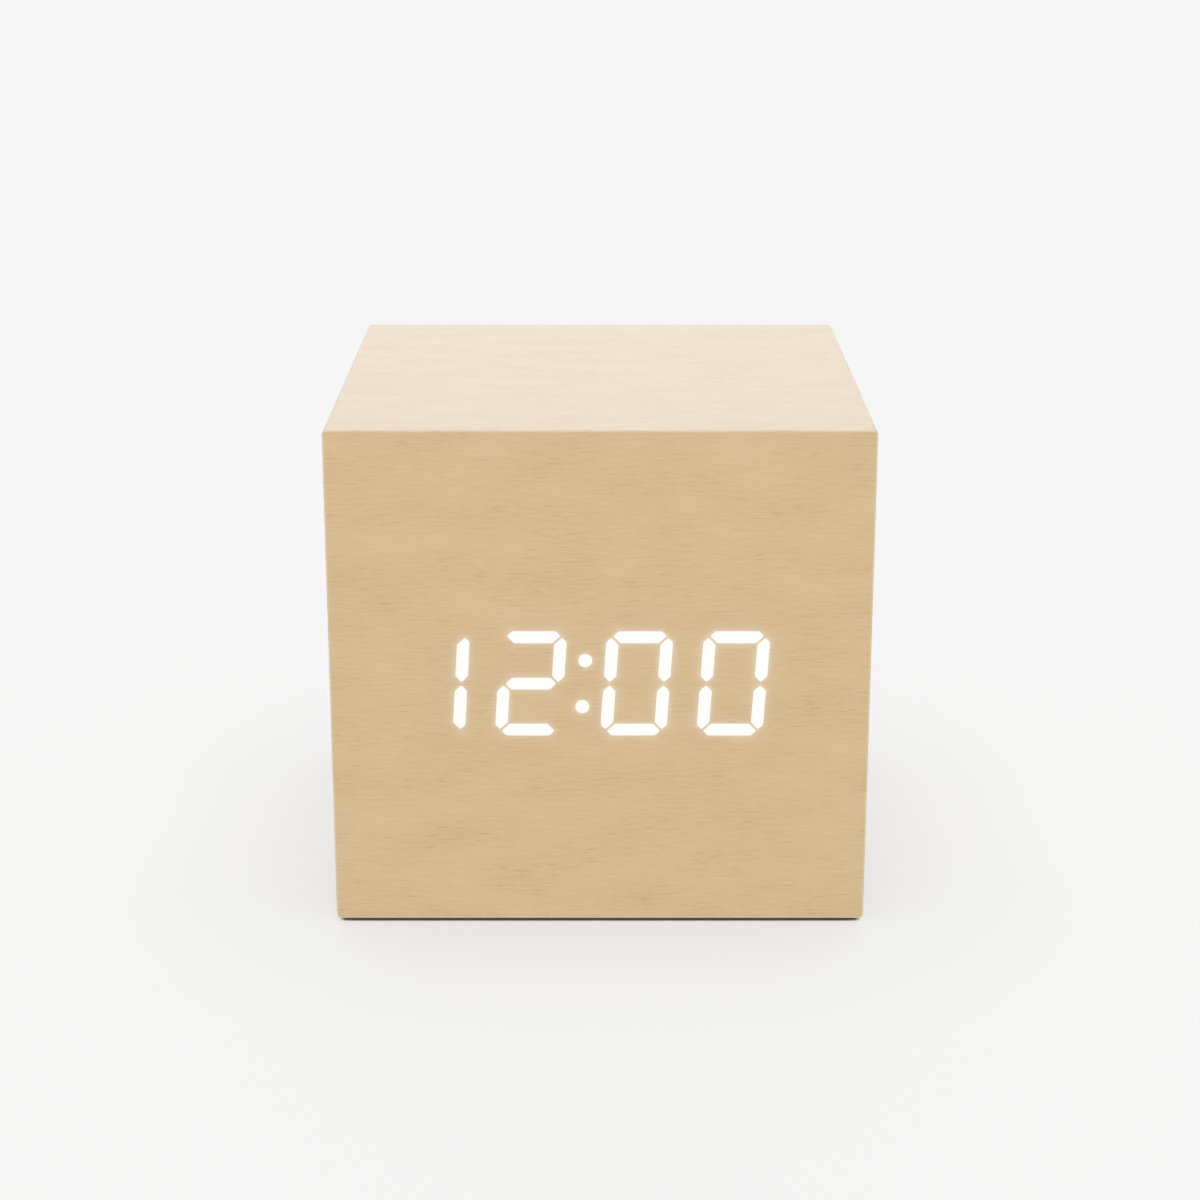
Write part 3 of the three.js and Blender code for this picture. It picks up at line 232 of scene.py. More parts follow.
def from_edges(tree, x, z):
    """How far a place lies in from the case's nearer side, and from its nearer end, up or down."""
    from_side = maths(tree, "SUBTRACT", case_high.x, maths(tree, "ABSOLUTE", x))
    from_middle = maths(tree, "ABSOLUTE", maths(tree, "SUBTRACT", z, case_middle.z))
    from_end = maths(tree, "SUBTRACT", case_high.z - case_middle.z, from_middle)
    return from_side, from_end


def settle_shading(piece):
    """Shades a piece smooth, with its broad faces flat and only the eased edges between them round."""
    piece.data.set_sharp_from_angle(angle=SHARP)
    modifier = piece.modifiers.new("broad_faces_flat", "WEIGHTED_NORMAL")
    modifier.weight = 100
    modifier.keep_sharp = True
    graph = bpy.context.evaluated_depsgraph_get()
    mesh = bpy.data.meshes.new_from_object(piece.evaluated_get(graph), depsgraph=graph)
    piece.modifiers.remove(modifier)
    piece.data = mesh


def set_out(name, mesh, finish, body):
    """A mesh as a finished piece on a body."""
    mesh.materials.clear()
    mesh.materials.append(finish)
    piece = bpy.data.objects.new(name, mesh)
    bpy.context.scene.collection.objects.link(piece)
    settle_shading(piece)
    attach(piece, body)
    return piece


def eased_copy(node, finish, ease, body="clock_case", behind=-1.0):
    """A copy of a CAD solid, with its sharp edges behind a given Y eased, which stands for the solid."""
    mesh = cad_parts[node].data.copy()
    shape = bmesh.new()
    shape.from_mesh(mesh)
    bmesh.ops.remove_doubles(shape, verts=shape.verts, dist=WELD)
    bmesh.ops.dissolve_limit(shape, angle_limit=FLAT, verts=shape.verts, edges=shape.edges)
    sharp = [edge for edge in shape.edges if edge.is_manifold and edge.calc_face_angle() > SHARP]
    sharp = [edge for edge in sharp if min(vert.co.y for vert in edge.verts) > behind]
    if ease > 0:
        bmesh.ops.bevel(shape, geom=sharp, offset=ease, segments=2, profile=0.5, affect="EDGES")
    shape.to_mesh(mesh)
    shape.free()
    piece = set_out(f"{node}_finished", mesh, finish, body)
    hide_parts(node)


wood_print = make_wood_print()
pressed_fibre = make_pressed_fibre()
case_low, case_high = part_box("case_sleeve")
case_middle = (case_low + case_high) / 2
sleeve_film, tree, shader, place = new_finish("sleeve_film")
x, y, z = split(tree, place)
wide = maths(tree, "ABSOLUTE", x)
on_side = maths(tree, "GREATER_THAN", wide, case_high.x - CORNER)
along = mix_value(tree, on_side, x, z)
across = maths(tree, "ADD", y, mix_value(tree, on_side, z, x))
grain = add_node(tree, "ShaderNodeCombineXYZ", {"X": along, "Y": across, "Z": on_side}).outputs[0]
# The sleeve's print in its light-tinted tones (painted light).
wood = wood_on(tree, grain, SLEEVE_PALE_LIGHT_TINT, SLEEVE_DARK_LIGHT_TINT)
fibre = fibre_on(tree, place)
# Painted highlight: the print is made paler in a thin band along the sleeve's rounded long edges, where they
# would otherwise shade darker as they turn from the light.
from_corner = maths(tree, "MAXIMUM", *from_edges(tree, x, z))
edge_highlight = remap(tree, from_corner, CORNER - EDGE_BAND, CORNER, EDGE_HIGHLIGHT_SHARE, 0.0)
film = mix_color(tree, edge_highlight, wood["Color"], paint(EDGE_HIGHLIGHT_PALE))
raw = product(
    tree,
    maths(tree, "LESS_THAN", wide, case_high.x - WALL + SKIN),
    maths(tree, "GREATER_THAN", z, case_low.z + SKIN),
    maths(tree, "LESS_THAN", z, case_high.z - WALL + SKIN),
    maths(tree, "LESS_THAN", y, case_high.y - SKIN),
)
feed(tree, shader, {
    "Base Color": mix_color(tree, raw, film, fibre["Color"]),
    "Roughness": mix_value(tree, raw, wood["Roughness"], FIBRE_ROUGH),
    "Coat Weight": mix_value(tree, raw, VARNISH, 0.0),
    "Coat Roughness": VARNISH_ROUGH,
})
add_bump(tree, shader, mix_value(tree, raw, wood["Height"], fibre["Height"]), FILM_RELIEF)
eased_copy("case_sleeve", sleeve_film, SLEEVE_EASE, behind=0)


# Front board
# A panel of the same fibreboard with its four edges mitred into the sleeve. A window is milled in it
# for the display, and two blind holes take the display board's screws.

FIBRE_RELIEF = 0.02 * MM


def dress(finish, *nodes):
    """Gives a finish to CAD solids whose shape is already right."""
    for node in nodes:
        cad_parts[node].material_slots[0].material = finish


board_fibre, tree, shader, place = new_finish("board_fibre")
fibre = fibre_on(tree, place)
feed(tree, shader, {"Base Color": fibre["Color"], "Roughness": FIBRE_ROUGH})
add_bump(tree, shader, fibre["Height"], FIBRE_RELIEF)
dress(board_fibre, "front_board")


# Display housing
# A dark grey moulding pressed into the board's window from behind. Its front is a mask with one slot
# for each segment, and each digit has a pocket behind the mask.

HOUSING_GREY = "#35363b"
HOUSING_SHEEN = "#44454b"
HOUSING_PEBBLE = 0.01 * MM
SKIN_PEBBLE = (3600, 3600, 3600)
SKIN_FLOW = (70, 70, 70)
PEBBLE_SHARE = 0.45


def make_moulded_skin():
    """The spark-eroded skin of a moulding: a fine even pebble and a slow change of shade."""
    group, given, result = new_group("moulded_skin", "Place", ("Base", "Sheen"), ("Roughness", "Height"))
    pebble = noise(group, given["Place"], SKIN_PEBBLE, 2)
    flow = noise(group, given["Place"], SKIN_FLOW, 3)
    shade = mix_value(group, PEBBLE_SHARE, flow, pebble)
    feed(group, result, {
        "Color": mix_color(group, remap(group, shade, 0.35, 0.7), given["Base"], given["Sheen"]),
        "Roughness": remap(group, flow, 0.3, 0.7, 0.5, 0.62),
        "Height": pebble,
    })
    return group


def skin_on(tree, place, base, sheen):
    """The moulded skin in a material, in shades of its own."""
    inputs = {"Place": place, "Base": paint(base), "Sheen": paint(sheen)}
    return add_node(tree, "ShaderNodeGroup", inputs, node_tree=moulded_skin).outputs


def moulded_finish(name, base, sheen, depth):
    """A moulded plastic whose pebbled skin is so deep."""
    finish, tree, shader, place = new_finish(name)
    skin = skin_on(tree, place, base, sheen)
    feed(tree, shader, {"Base Color": skin["Color"], "Roughness": skin["Roughness"]})
    add_bump(tree, shader, skin["Height"], depth)
    return finish


moulded_skin = make_moulded_skin()
housing_plastic = moulded_finish("housing_plastic", HOUSING_GREY, HOUSING_SHEEN, HOUSING_PEBBLE)
dress(housing_plastic, "display_housing")


# Light guides
# Milky epoxy cast into the housing's pockets, one block to a digit and one to the colon. Each segment
# stands up through the mask, so that the light of one stays out of the next.

EPOXY = "#f6f3e8"
EPOXY_CLOUD = "#e6e2d2"
EPOXY_CLOUDS = (500, 500, 500)

milky_epoxy, tree, shader, place = new_finish("milky_epoxy")
cloud = noise(tree, place, EPOXY_CLOUDS, 3)
feed(tree, shader, {
    "Base Color": mix_color(tree, remap(tree, cloud, 0.35, 0.7), paint(EPOXY), paint(EPOXY_CLOUD)),
    "Roughness": remap(tree, cloud, 0.3, 0.7, 0.28, 0.42),
})
dress(milky_epoxy, "colon_guide", *[f"digit_guide_{number}" for number in range(1, 5)])


# Display board
# A glass-epoxy board behind the housing that carries the LEDs on its front, and the clock chip and its
# watch crystal on its back. Copper tracks show through the green mask, and the cut edges are bare.

MASK_GREEN = "#1d5a3a"
TRACK_GREEN = "#2f7d52"
BARE_BOARD = "#a9a56a"
TRACK_PITCH = 1.27 * MM
TRACK_HALF_SHARE = 0.16
TRACK_RISE = 0.03 * MM
TRACK_TURNS = (150, 0, 150)
TRACK_FIELDS = (260, 0, 260)
MASK_ROUGH = 0.35
BARE_ROUGH = 0.8
METAL_LINES = (160, 5200, 5200)
METAL_CLOUDS = (180, 180, 180)
METAL_RELIEF = 0.004 * MM
CHIP_BODY = "#1a1b1d"
CHIP_BODY_SHEEN = "#26272a"
CHIP_PEBBLE = 0.008 * MM
CHIP_HALF = 2 * MM
LEAD_TIN = "#c6c8ca"
LEAD_TIN_ROUGH = 0.3
CAN_STEEL = "#c8cbd0"
CAN_DULL = "#a9adb3"
CRYSTAL_EASE = 0.3 * MM
SOLDER = "#c9cbcd"
SOLDER_DULL = "#aeb1b5"
JOINT_R = 0.75 * MM
JOINT_H = 0.6 * MM
JOINT_TIP = 0.3
JOINT_SIDES = 16
JOINT_RINGS = 4
DIGIT_PIN_PITCH = 2.54 * MM
DIGIT_PINS = 12
DIGIT_PIN_ROW = 5.4 * MM
TO_BACK = (-math.pi / 2, 0, 0)


def board_finish(name, node):
    """Solder mask over tracks that turn between upright and level, with bare glass-epoxy edges."""
    low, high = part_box(node)
    finish, tree, shader, place = new_finish(name)
    x, y, z = split(tree, place)
    run = remap(tree, noise(tree, place, TRACK_TURNS, 1), 0.49, 0.51)
    lane = maths(tree, "DIVIDE", mix_value(tree, run, x, z), TRACK_PITCH)
    offset = maths(tree, "ABSOLUTE", maths(tree, "SUBTRACT", maths(tree, "FRACT", lane), 0.5))
    used = remap(tree, noise(tree, place, TRACK_FIELDS, 2), 0.45, 0.47)
    track = product(tree, maths(tree, "LESS_THAN", offset, TRACK_HALF_SHARE), used)
    inner = product(
        tree,
        maths(tree, "GREATER_THAN", y, low.y + SKIN),
        maths(tree, "LESS_THAN", y, high.y - SKIN),
    )
    mask = mix_color(tree, track, paint(MASK_GREEN), paint(TRACK_GREEN))
    feed(tree, shader, {
        "Base Color": mix_color(tree, inner, mask, paint(BARE_BOARD)),
        "Roughness": mix_value(tree, inner, MASK_ROUGH, BARE_ROUGH),
    })
    add_bump(tree, shader, track, TRACK_RISE)
    return finish


def make_drawn_metal():
    """Sheet or wire metal: fine lines along X and a slow change from bright to dull."""
    group, given, result = new_group("drawn_metal", "Place", ("Bright", "Dull"), ("Roughness", "Height"))
    lines = noise(group, given["Place"], METAL_LINES, 3)
    cloud = noise(group, given["Place"], METAL_CLOUDS, 3)
    shade = mix_value(group, 0.5, lines, cloud)
    feed(group, result, {
        "Color": mix_color(group, remap(group, shade, 0.35, 0.65), given["Bright"], given["Dull"]),
        "Roughness": remap(group, shade, 0.3, 0.7, 0.22, 0.42),
        "Height": lines,
    })
    return group


def metal_finish(name, bright, dull):
    """A metal with faint drawing lines."""
    finish, tree, shader, place = new_finish(name)
    inputs = {"Place": place, "Bright": paint(bright), "Dull": paint(dull)}
    metal = add_node(tree, "ShaderNodeGroup", inputs, node_tree=drawn_metal).outputs
    feed(tree, shader, {
        "Base Color": metal["Color"],
        "Roughness": metal["Roughness"],
        "Metallic": 1.0,
    })
    add_bump(tree, shader, metal["Height"], METAL_RELIEF)
    return finish


def new_geometry_tree(name, sizes, vectors=("Turn",)):
    """A geometry tree that works on points, with named inputs for its sizes, vectors and finish."""
    tree = bpy.data.node_groups.new(name, "GeometryNodeTree")
    tree.interface.new_socket("Places", in_out="INPUT", socket_type="NodeSocketGeometry")
    kinds = {label: "NodeSocketFloat" for label in sizes}
    kinds.update({label: "NodeSocketVector" for label in vectors})
    for label, kind in {**kinds, "Finish": "NodeSocketMaterial"}.items():
        tree.interface.new_socket(label, in_out="INPUT", socket_type=kind)
    tree.interface.new_socket("Pieces", in_out="OUTPUT", socket_type="NodeSocketGeometry")
    given = add_node(tree, "NodeGroupInput").outputs
    result = add_node(tree, "NodeGroupOutput").inputs
    return tree, given, result


def set_on_places(tree, given, result, shape):
    """Ends a tree: the shape on every place, turned, made plain mesh and given its finish."""
    turn = add_node(tree, "FunctionNodeEulerToRotation", {0: given["Turn"]}).outputs[0]
    copies = add_node(tree, "GeometryNodeInstanceOnPoints", {
        "Points": given["Places"],
        "Instance": shape,
        "Rotation": turn,
    }).outputs[0]
    plain = add_node(tree, "GeometryNodeRealizeInstances", {"Geometry": copies}).outputs[0]
    finished = add_node(tree, "GeometryNodeSetMaterial", {"Geometry": plain, "Material": given["Finish"]})
    tree.links.new(finished.outputs[0], result["Pieces"])


def grown(name, tree, places, slot, body="clock_case", **values):
    """Runs a geometry tree on a list of places and leaves its result as one plain mesh on a body."""
    points = bpy.data.meshes.new(name)
    points.from_pydata(places, [], [])
    piece = bpy.data.objects.new(name, points)
    bpy.context.scene.collection.objects.link(piece)
    modifier = piece.modifiers.new(name, "NODES")
    modifier.node_group = tree
    for item in tree.interface.items_tree:
        label = item.name.replace(" ", "_").lower()
        if item.in_out == "INPUT" and label in values:
            modifier[item.identifier] = values[label]
    graph = bpy.context.evaluated_depsgraph_get()
    mesh = bpy.data.meshes.new_from_object(piece.evaluated_get(graph), depsgraph=graph)
    piece.modifiers.remove(modifier)
    piece.data = mesh
    mesh.set_sharp_from_angle(angle=SHARP)
    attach(piece, body)
    return piece


def make_solder_joints():
    """A hollow-sided cone of solder round each wire end."""
    tree, given, result = new_geometry_tree("solder_joints", ("Radius", "Height"))
    cone = add_node(tree, "GeometryNodeMeshCone", {
        "Vertices": JOINT_SIDES,
        "Side Segments": JOINT_RINGS,
        "Radius Top": product(tree, given["Radius"], JOINT_TIP),
        "Radius Bottom": given["Radius"],
        "Depth": given["Height"],
    }).outputs["Mesh"]
    x, y, z = split(tree, add_node(tree, "GeometryNodeInputPosition").outputs[0])
    left = maths(tree, "SUBTRACT", 1.0, maths(tree, "DIVIDE", z, given["Height"]))
    straight = maths(tree, "ADD", product(tree, left, 1 - JOINT_TIP), JOINT_TIP)
    hollow = maths(tree, "ADD", product(tree, left, left, 1 - JOINT_TIP), JOINT_TIP)
    width = maths(tree, "DIVIDE", hollow, straight)
    place = {"X": product(tree, x, width), "Y": product(tree, y, width), "Z": z}
    place = add_node(tree, "ShaderNodeCombineXYZ", place).outputs[0]
    drawn_in = add_node(tree, "GeometryNodeSetPosition", {"Geometry": cone, "Position": place})
    set_on_places(tree, given, result, drawn_in.outputs[0])
    return tree


def middle_of(node):
    """The middle of a CAD node's box."""
    low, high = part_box(node)
    return (low + high) / 2


drawn_metal = make_drawn_metal()
solder_joints = make_solder_joints()
display_mask = board_finish("display_mask", "display_board")
dress(display_mask, "display_board")

chip_black, tree, shader, place = new_finish("chip_black")
x, y, z = split(tree, place)
reach = maths(tree, "ABSOLUTE", maths(tree, "SUBTRACT", z, middle_of("clock_chip").z))
tinned = maths(tree, "GREATER_THAN", reach, CHIP_HALF + SKIN)
skin = skin_on(tree, place, CHIP_BODY, CHIP_BODY_SHEEN)
feed(tree, shader, {
    "Base Color": mix_color(tree, tinned, skin["Color"], paint(LEAD_TIN)),
    "Roughness": mix_value(tree, tinned, skin["Roughness"], LEAD_TIN_ROUGH),
    "Metallic": tinned,
})
add_bump(tree, shader, skin["Height"], CHIP_PEBBLE)
dress(chip_black, "clock_chip")

can_steel = metal_finish("can_steel", CAN_STEEL, CAN_DULL)
eased_copy("watch_crystal", can_steel, CRYSTAL_EASE)

solder = metal_finish("solder", SOLDER, SOLDER_DULL)
display_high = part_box("display_board")[1]
display_middle = middle_of("display_board")
digit_pins = []
for index in range(DIGIT_PINS):
    pin_x = display_middle.x + (index - (DIGIT_PINS - 1) / 2) * DIGIT_PIN_PITCH
    for side in (-1, 1):
        digit_pins.append((pin_x, display_high.y, display_middle.z + side * DIGIT_PIN_ROW))
grown(
    "display_solder", solder_joints, digit_pins, "bright_steel",
    radius=JOINT_R, height=JOINT_H, turn=TO_BACK, finish=solder,
)


# Board spacers and screws
# Two black plastic tubes hold the display board off the front board. A cross-headed pan screw runs
# through each one into the board; the thread is rolled and the recess is stamped.

SPACER_BLACK = "#2a2a2d"
SPACER_SHEEN = "#37373b"
SPACER_PEBBLE = 0.006 * MM
SPACER_EASE = 0.12 * MM
SCREW_STEEL = "#cdd0d4"
SCREW_DULL = "#aab0b6"
SCREW_HEAD_D = 4.4 * MM
SCREW_HEAD_T = 1.3 * MM
HEAD_DOME = 0.45
HEAD_SIDES = 32
HEAD_RINGS = 8
SCREW_D = 2.6 * MM
SCREW_PITCH = 0.9 * MM
CORE_SHARE = 0.8
POINT_SHARE = 0.75
THREAD_RISE = 0.2
THREAD_FOOT = 0.78
THREAD_REACH = 0.9
THREAD_CORNERS = 3
THREAD_STEPS = 20
SHANK_SIDES = 20
SHANK_RINGS = 6
CROSS_SPAN = 2.6 * MM
CROSS_W = 0.6 * MM
CROSS_DEPTH = 0.8 * MM
BOARD_SCREW_L = 9.3 * MM


def make_cross_screw():
    """A screw along -Z with the top of its head at Z = 0, its head domed or, if sunk, a cone."""
    tree, given, result = new_geometry_tree("cross_screw", (
        "Head Width", "Head Height", "Thread Width", "Length", "Pitch",
        "Cross Span", "Cross Width", "Cross Depth", "Sunk",
    ))
    head_r = product(tree, given["Head Width"], 0.5)
    thread_r = product(tree, given["Thread Width"], 0.5)
    core_r = product(tree, thread_r, CORE_SHARE)
    drop = product(tree, given["Head Height"], -0.5)
    drum = add_node(tree, "GeometryNodeMeshCylinder", {
        "Vertices": HEAD_SIDES,
        "Side Segments": HEAD_RINGS,
        "Radius": head_r,
        "Depth": given["Head Height"],
    }).outputs["Mesh"]
    x, y, z = split(tree, add_node(tree, "GeometryNodeInputPosition").outputs[0])
    up = maths(tree, "ADD", maths(tree, "DIVIDE", z, given["Head Height"]), 0.5)
    domed = maths(tree, "SQRT", maths(tree, "SUBTRACT", 1.0, product(tree, HEAD_DOME, up, up, up)))
    cone = remap(tree, up, 0.0, 1.0, maths(tree, "DIVIDE", thread_r, head_r), 1.0)
    width = mix_value(tree, given["Sunk"], domed, cone)
    place = add_node(tree, "ShaderNodeCombineXYZ", {
        "X": product(tree, x, width),
        "Y": product(tree, y, width),
        "Z": maths(tree, "ADD", z, drop),
    }).outputs[0]
    head = add_node(tree, "GeometryNodeSetPosition", {"Geometry": drum, "Position": place}).outputs[0]
    slots = []
    # One slot is a little shallower than the other, so that no two faces of the punch lie in one plane.
    for across, along, reach in (("Cross Span", "Cross Width", 2.0), ("Cross Width", "Cross Span", 1.8)):
        deep = product(tree, given["Cross Depth"], reach)
        size = {"X": given[across], "Y": given[along], "Z": deep}
        size = add_node(tree, "ShaderNodeCombineXYZ", size).outputs[0]
        slots.append(add_node(tree, "GeometryNodeMeshCube", {"Size": size}).outputs["Mesh"])
    punch = add_node(tree, "GeometryNodeMeshBoolean", operation="UNION")
    for slot in slots:
        tree.links.new(slot, punch.inputs["Mesh 2"])
    stamp = add_node(tree, "GeometryNodeMeshBoolean", {"Mesh 1": head}, operation="DIFFERENCE")
    tree.links.new(punch.outputs["Mesh"], stamp.inputs["Mesh 2"])
    shank_l = maths(tree, "SUBTRACT", given["Length"], given["Head Height"])
    shank = add_node(tree, "GeometryNodeMeshCone", {
        "Vertices": SHANK_SIDES,
        "Side Segments": SHANK_RINGS,
        "Radius Top": core_r,
        "Radius Bottom": product(tree, core_r, POINT_SHARE),
        "Depth": shank_l,
    }).outputs["Mesh"]
    ridge = add_node(tree, "GeometryNodeCurvePrimitiveCircle", {
        "Resolution": THREAD_CORNERS,
        "Radius": product(tree, thread_r, THREAD_RISE),
    }).outputs["Curve"]
    thread_l = product(tree, shank_l, THREAD_REACH)
    spiral = add_node(tree, "GeometryNodeCurveSpiral", {
        "Resolution": THREAD_STEPS,
        "Rotations": maths(tree, "DIVIDE", thread_l, given["Pitch"]),
        "Start Radius": product(tree, core_r, THREAD_FOOT),
        "End Radius": core_r,
        "Height": thread_l,
    }).outputs["Curve"]
    thread = add_node(tree, "GeometryNodeCurveToMesh", {
        "Curve": spiral,
        "Profile Curve": ridge,
        "Fill Caps": True,
    }).outputs["Mesh"]
    lower = {"Z": product(tree, given["Length"], -1.0)}
    lower = add_node(tree, "ShaderNodeCombineXYZ", lower).outputs[0]
    stem = add_node(tree, "GeometryNodeJoinGeometry")
    tree.links.new(shank, stem.inputs[0])
    tree.links.new(thread, stem.inputs[0])
    stem = add_node(tree, "GeometryNodeTransform", {"Geometry": stem.outputs[0], "Translation": lower})
    screw = add_node(tree, "GeometryNodeJoinGeometry")
    tree.links.new(stamp.outputs["Mesh"], screw.inputs[0])
    tree.links.new(stem.outputs[0], screw.inputs[0])
    set_on_places(tree, given, result, screw.outputs[0])
    return tree


def screw_set(name, nodes, head_side, length, sunk, turn, finish, slot):
    """Screws in place of CAD ones, whose heads are at the low (0) or high (1) end along an axis."""
    axis, end = head_side
    places = []
    for node in nodes:
        place = middle_of(node)
        place[axis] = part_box(node)[end][axis]
        places.append(tuple(place))
    piece = grown(
        name, cross_screw, places, slot,
        head_width=SCREW_HEAD_D, head_height=SCREW_HEAD_T, thread_width=SCREW_D, length=length,
        pitch=SCREW_PITCH, cross_span=CROSS_SPAN, cross_width=CROSS_W, cross_depth=CROSS_DEPTH,
        sunk=sunk, turn=turn, finish=finish,
    )
    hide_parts(*nodes)


cross_screw = make_cross_screw()
spacer_plastic = moulded_finish("spacer_plastic", SPACER_BLACK, SPACER_SHEEN, SPACER_PEBBLE)
for number in (1, 2):
    eased_copy(f"board_spacer_{number}", spacer_plastic, SPACER_EASE)
screw_steel = metal_finish("screw_steel", SCREW_STEEL, SCREW_DULL)
screw_set(
    "board_screws", ["board_screw_1", "board_screw_2"], (1, 1), BOARD_SCREW_L, 0.0,
    TO_BACK, screw_steel, "bright_steel",
)


# Front film and its lit digits
# A sheet of the same print glued over the front board, its edges eased. It is thin enough for the LEDs
# to shine through, so each lit segment shows as clean white with a faint bloom in the print round it.

FILM_FACE = -34.98 * MM
FILM_BACK = -34.35 * MM
LIT_FACE = -35 * MM
LIT_BACK = -34.9 * MM
FILM_CORNER = 0.6 * MM
FILM_EASE = 0.16 * MM
DISPLAY_X = -2.1 * MM
DISPLAY_Z = 33.45 * MM
DIGIT_X = (-19.35 * MM, -6.85 * MM, 6.85 * MM, 19.35 * MM)
DIGIT_W = 8.6 * MM
DIGIT_H = 14.2 * MM
SEGMENT_T = 1.6 * MM
SEGMENT_GAP = 0.3 * MM
SEGMENT_CUT = 1.48 * MM
SEGMENT_R = 0.2 * MM
COLON_RISE = 3.15 * MM
COLON_D = 1.8 * MM
COLON_SIDES = 32
LEAN = math.tan(math.radians(3.6))
SHOWN = "1200"
LIT = {"1": "bc", "2": "abdeg", "0": "abcdef"}
LIT_LIGHT = 0.97
LIT_WHITE = "#fffefd"
LIT_GRAIN = "#fdfbf8"
LIT_BASE = "#24211d"
UNLIT = "#000000"
BLOOM = "#bdedff"
BLOOM_LIGHT = 0.14
BLOOM_REACH = 0.42 * MM
BLOOM_STEP = 0.2 * MM
BLOOM_MARGIN = 3 * MM
FRONT_LAYER = 0.7


def segment_outlines():
    """The seven mitred segments of a digit about its middle, leaning, by letter from the top round."""
    half_w = DIGIT_W / 2
    half_h = DIGIT_H / 2
    gap = SEGMENT_GAP / math.sqrt(2)
    near = (SEGMENT_CUT - gap) / 2
    far = (SEGMENT_CUT + gap) / 2
    inner = half_w - SEGMENT_T - gap
    half_t = SEGMENT_T / 2
    top = [
        (-inner, half_h - SEGMENT_T),
        (inner, half_h - SEGMENT_T),
        (half_w - far, half_h - near),
        (half_w - SEGMENT_CUT, half_h),
        (SEGMENT_CUT - half_w, half_h),
        (far - half_w, half_h - near),
    ]
    middle = [
        (-inner, -half_t),
        (inner, -half_t),
        (inner + half_t, 0),
        (inner, half_t),
        (-inner, half_t),
        (-inner - half_t, 0),
    ]
    right = [
        (half_w - SEGMENT_T, half_t + gap),
        (half_w - half_t, gap),
        (half_w, half_t + gap),
        (half_w, half_h - SEGMENT_CUT),
        (half_w - near, half_h - far),
        (half_w - SEGMENT_T, half_h - SEGMENT_T - gap),
    ]
    upright = {"a": top, "b": right, "g": middle}
    upright["c"] = [(x, -z) for x, z in right]
    upright["d"] = [(x, -z) for x, z in top]
    upright["e"] = [(-x, -z) for x, z in right]
    upright["f"] = [(-x, z) for x, z in right]
    return {letter: [(x + z * LEAN, z) for x, z in outline] for letter, outline in upright.items()}


def lit_outlines():
    """The outlines of the segments that are lit, on the clock's front."""
    outlines = []
    segments = segment_outlines()
    for digit, digit_x in zip(SHOWN, DIGIT_X):
        for letter in LIT[digit]:
            outlines.append([(DISPLAY_X + digit_x + x, DISPLAY_Z + z) for x, z in segments[letter]])
    return outlines


def colon_outlines():
    """The outlines of the colon's two round dots."""
    outlines = []
    for rise in (-COLON_RISE, COLON_RISE):
        turns = [2 * math.pi * index / COLON_SIDES for index in range(COLON_SIDES)]
        middle_x = DISPLAY_X + rise * LEAN
        middle_z = DISPLAY_Z + rise
        radius = COLON_D / 2
        outlines.append([(middle_x + radius * math.cos(t), middle_z + radius * math.sin(t)) for t in turns])
    return outlines


def finished_piece(name, shape, finish):
    """A built shape as a finished piece of the case."""
    mesh = bpy.data.meshes.new(name)
    bmesh.ops.recalc_face_normals(shape, faces=shape.faces)
    shape.to_mesh(mesh)
    shape.free()
    return set_out(name, mesh, finish, "clock_case")


def stops(low, high, close_low, close_high, step):
    """Places from low to high that are close together only over the stretch that needs them."""
    count = round((close_high - close_low) / step)
    close = [close_low + (close_high - close_low) * index / count for index in range(count + 1)]
    return [low, *close, high]


def film_shape():
    """A sheet with rounded corners and an eased front edge, finely divided where the bloom lies."""
    reach_x = DIGIT_X[-1] + DIGIT_W / 2 + BLOOM_MARGIN
    reach_z = DIGIT_H / 2 + BLOOM_MARGIN
    across = stops(case_low.x, case_high.x, DISPLAY_X - reach_x, DISPLAY_X + reach_x, BLOOM_STEP)
    upward = stops(case_low.z, case_high.z, DISPLAY_Z - reach_z, DISPLAY_Z + reach_z, BLOOM_STEP)
    shape = bmesh.new()
    rows = [[shape.verts.new((x, FILM_FACE, z)) for x in across] for z in upward]
    for lower, upper in zip(rows, rows[1:]):
        for index in range(len(across) - 1):
            shape.faces.new((lower[index], lower[index + 1], upper[index + 1], upper[index]))
    corners = [(case_low.x, case_low.z), (case_high.x, case_low.z)]
    corners += [(case_high.x, case_high.z), (case_low.x, case_high.z)]
    back = [shape.verts.new((x, FILM_BACK, z)) for x, z in corners]
    shape.faces.new(back[::-1])
    edges = [rows[0], [row[-1] for row in rows], rows[-1][::-1], [row[0] for row in rows][::-1]]
    for index, edge in enumerate(edges):
        shape.faces.new([*edge[::-1], back[index], back[(index + 1) % 4]])
    uprights = [shape.edges.get((edge[0], back[index])) for index, edge in enumerate(edges)]
    bmesh.ops.bevel(shape, geom=uprights, offset=FILM_CORNER, segments=5, profile=0.5, affect="EDGES")
    shape.normal_update()
    rim = [edge for edge in shape.edges if all(vert.co.y < FILM_FACE + SKIN for vert in edge.verts)]
    rim = [edge for edge in rim if edge.calc_face_angle() > SHARP]
    bmesh.ops.bevel(shape, geom=rim, offset=FILM_EASE, segments=3, profile=0.5, affect="EDGES")
    return shape


def distance_to(points, outline):
    """How far each point lies from the nearest side of an outline."""
    start = np.array(outline)
    side = np.roll(start, -1, axis=0) - start
    offset = points[:, None] - start
    share = np.clip((offset * side).sum(-1) / (side ** 2).sum(-1), 0, 1)
    return np.linalg.norm(offset - share[..., None] * side, axis=-1).min(1)


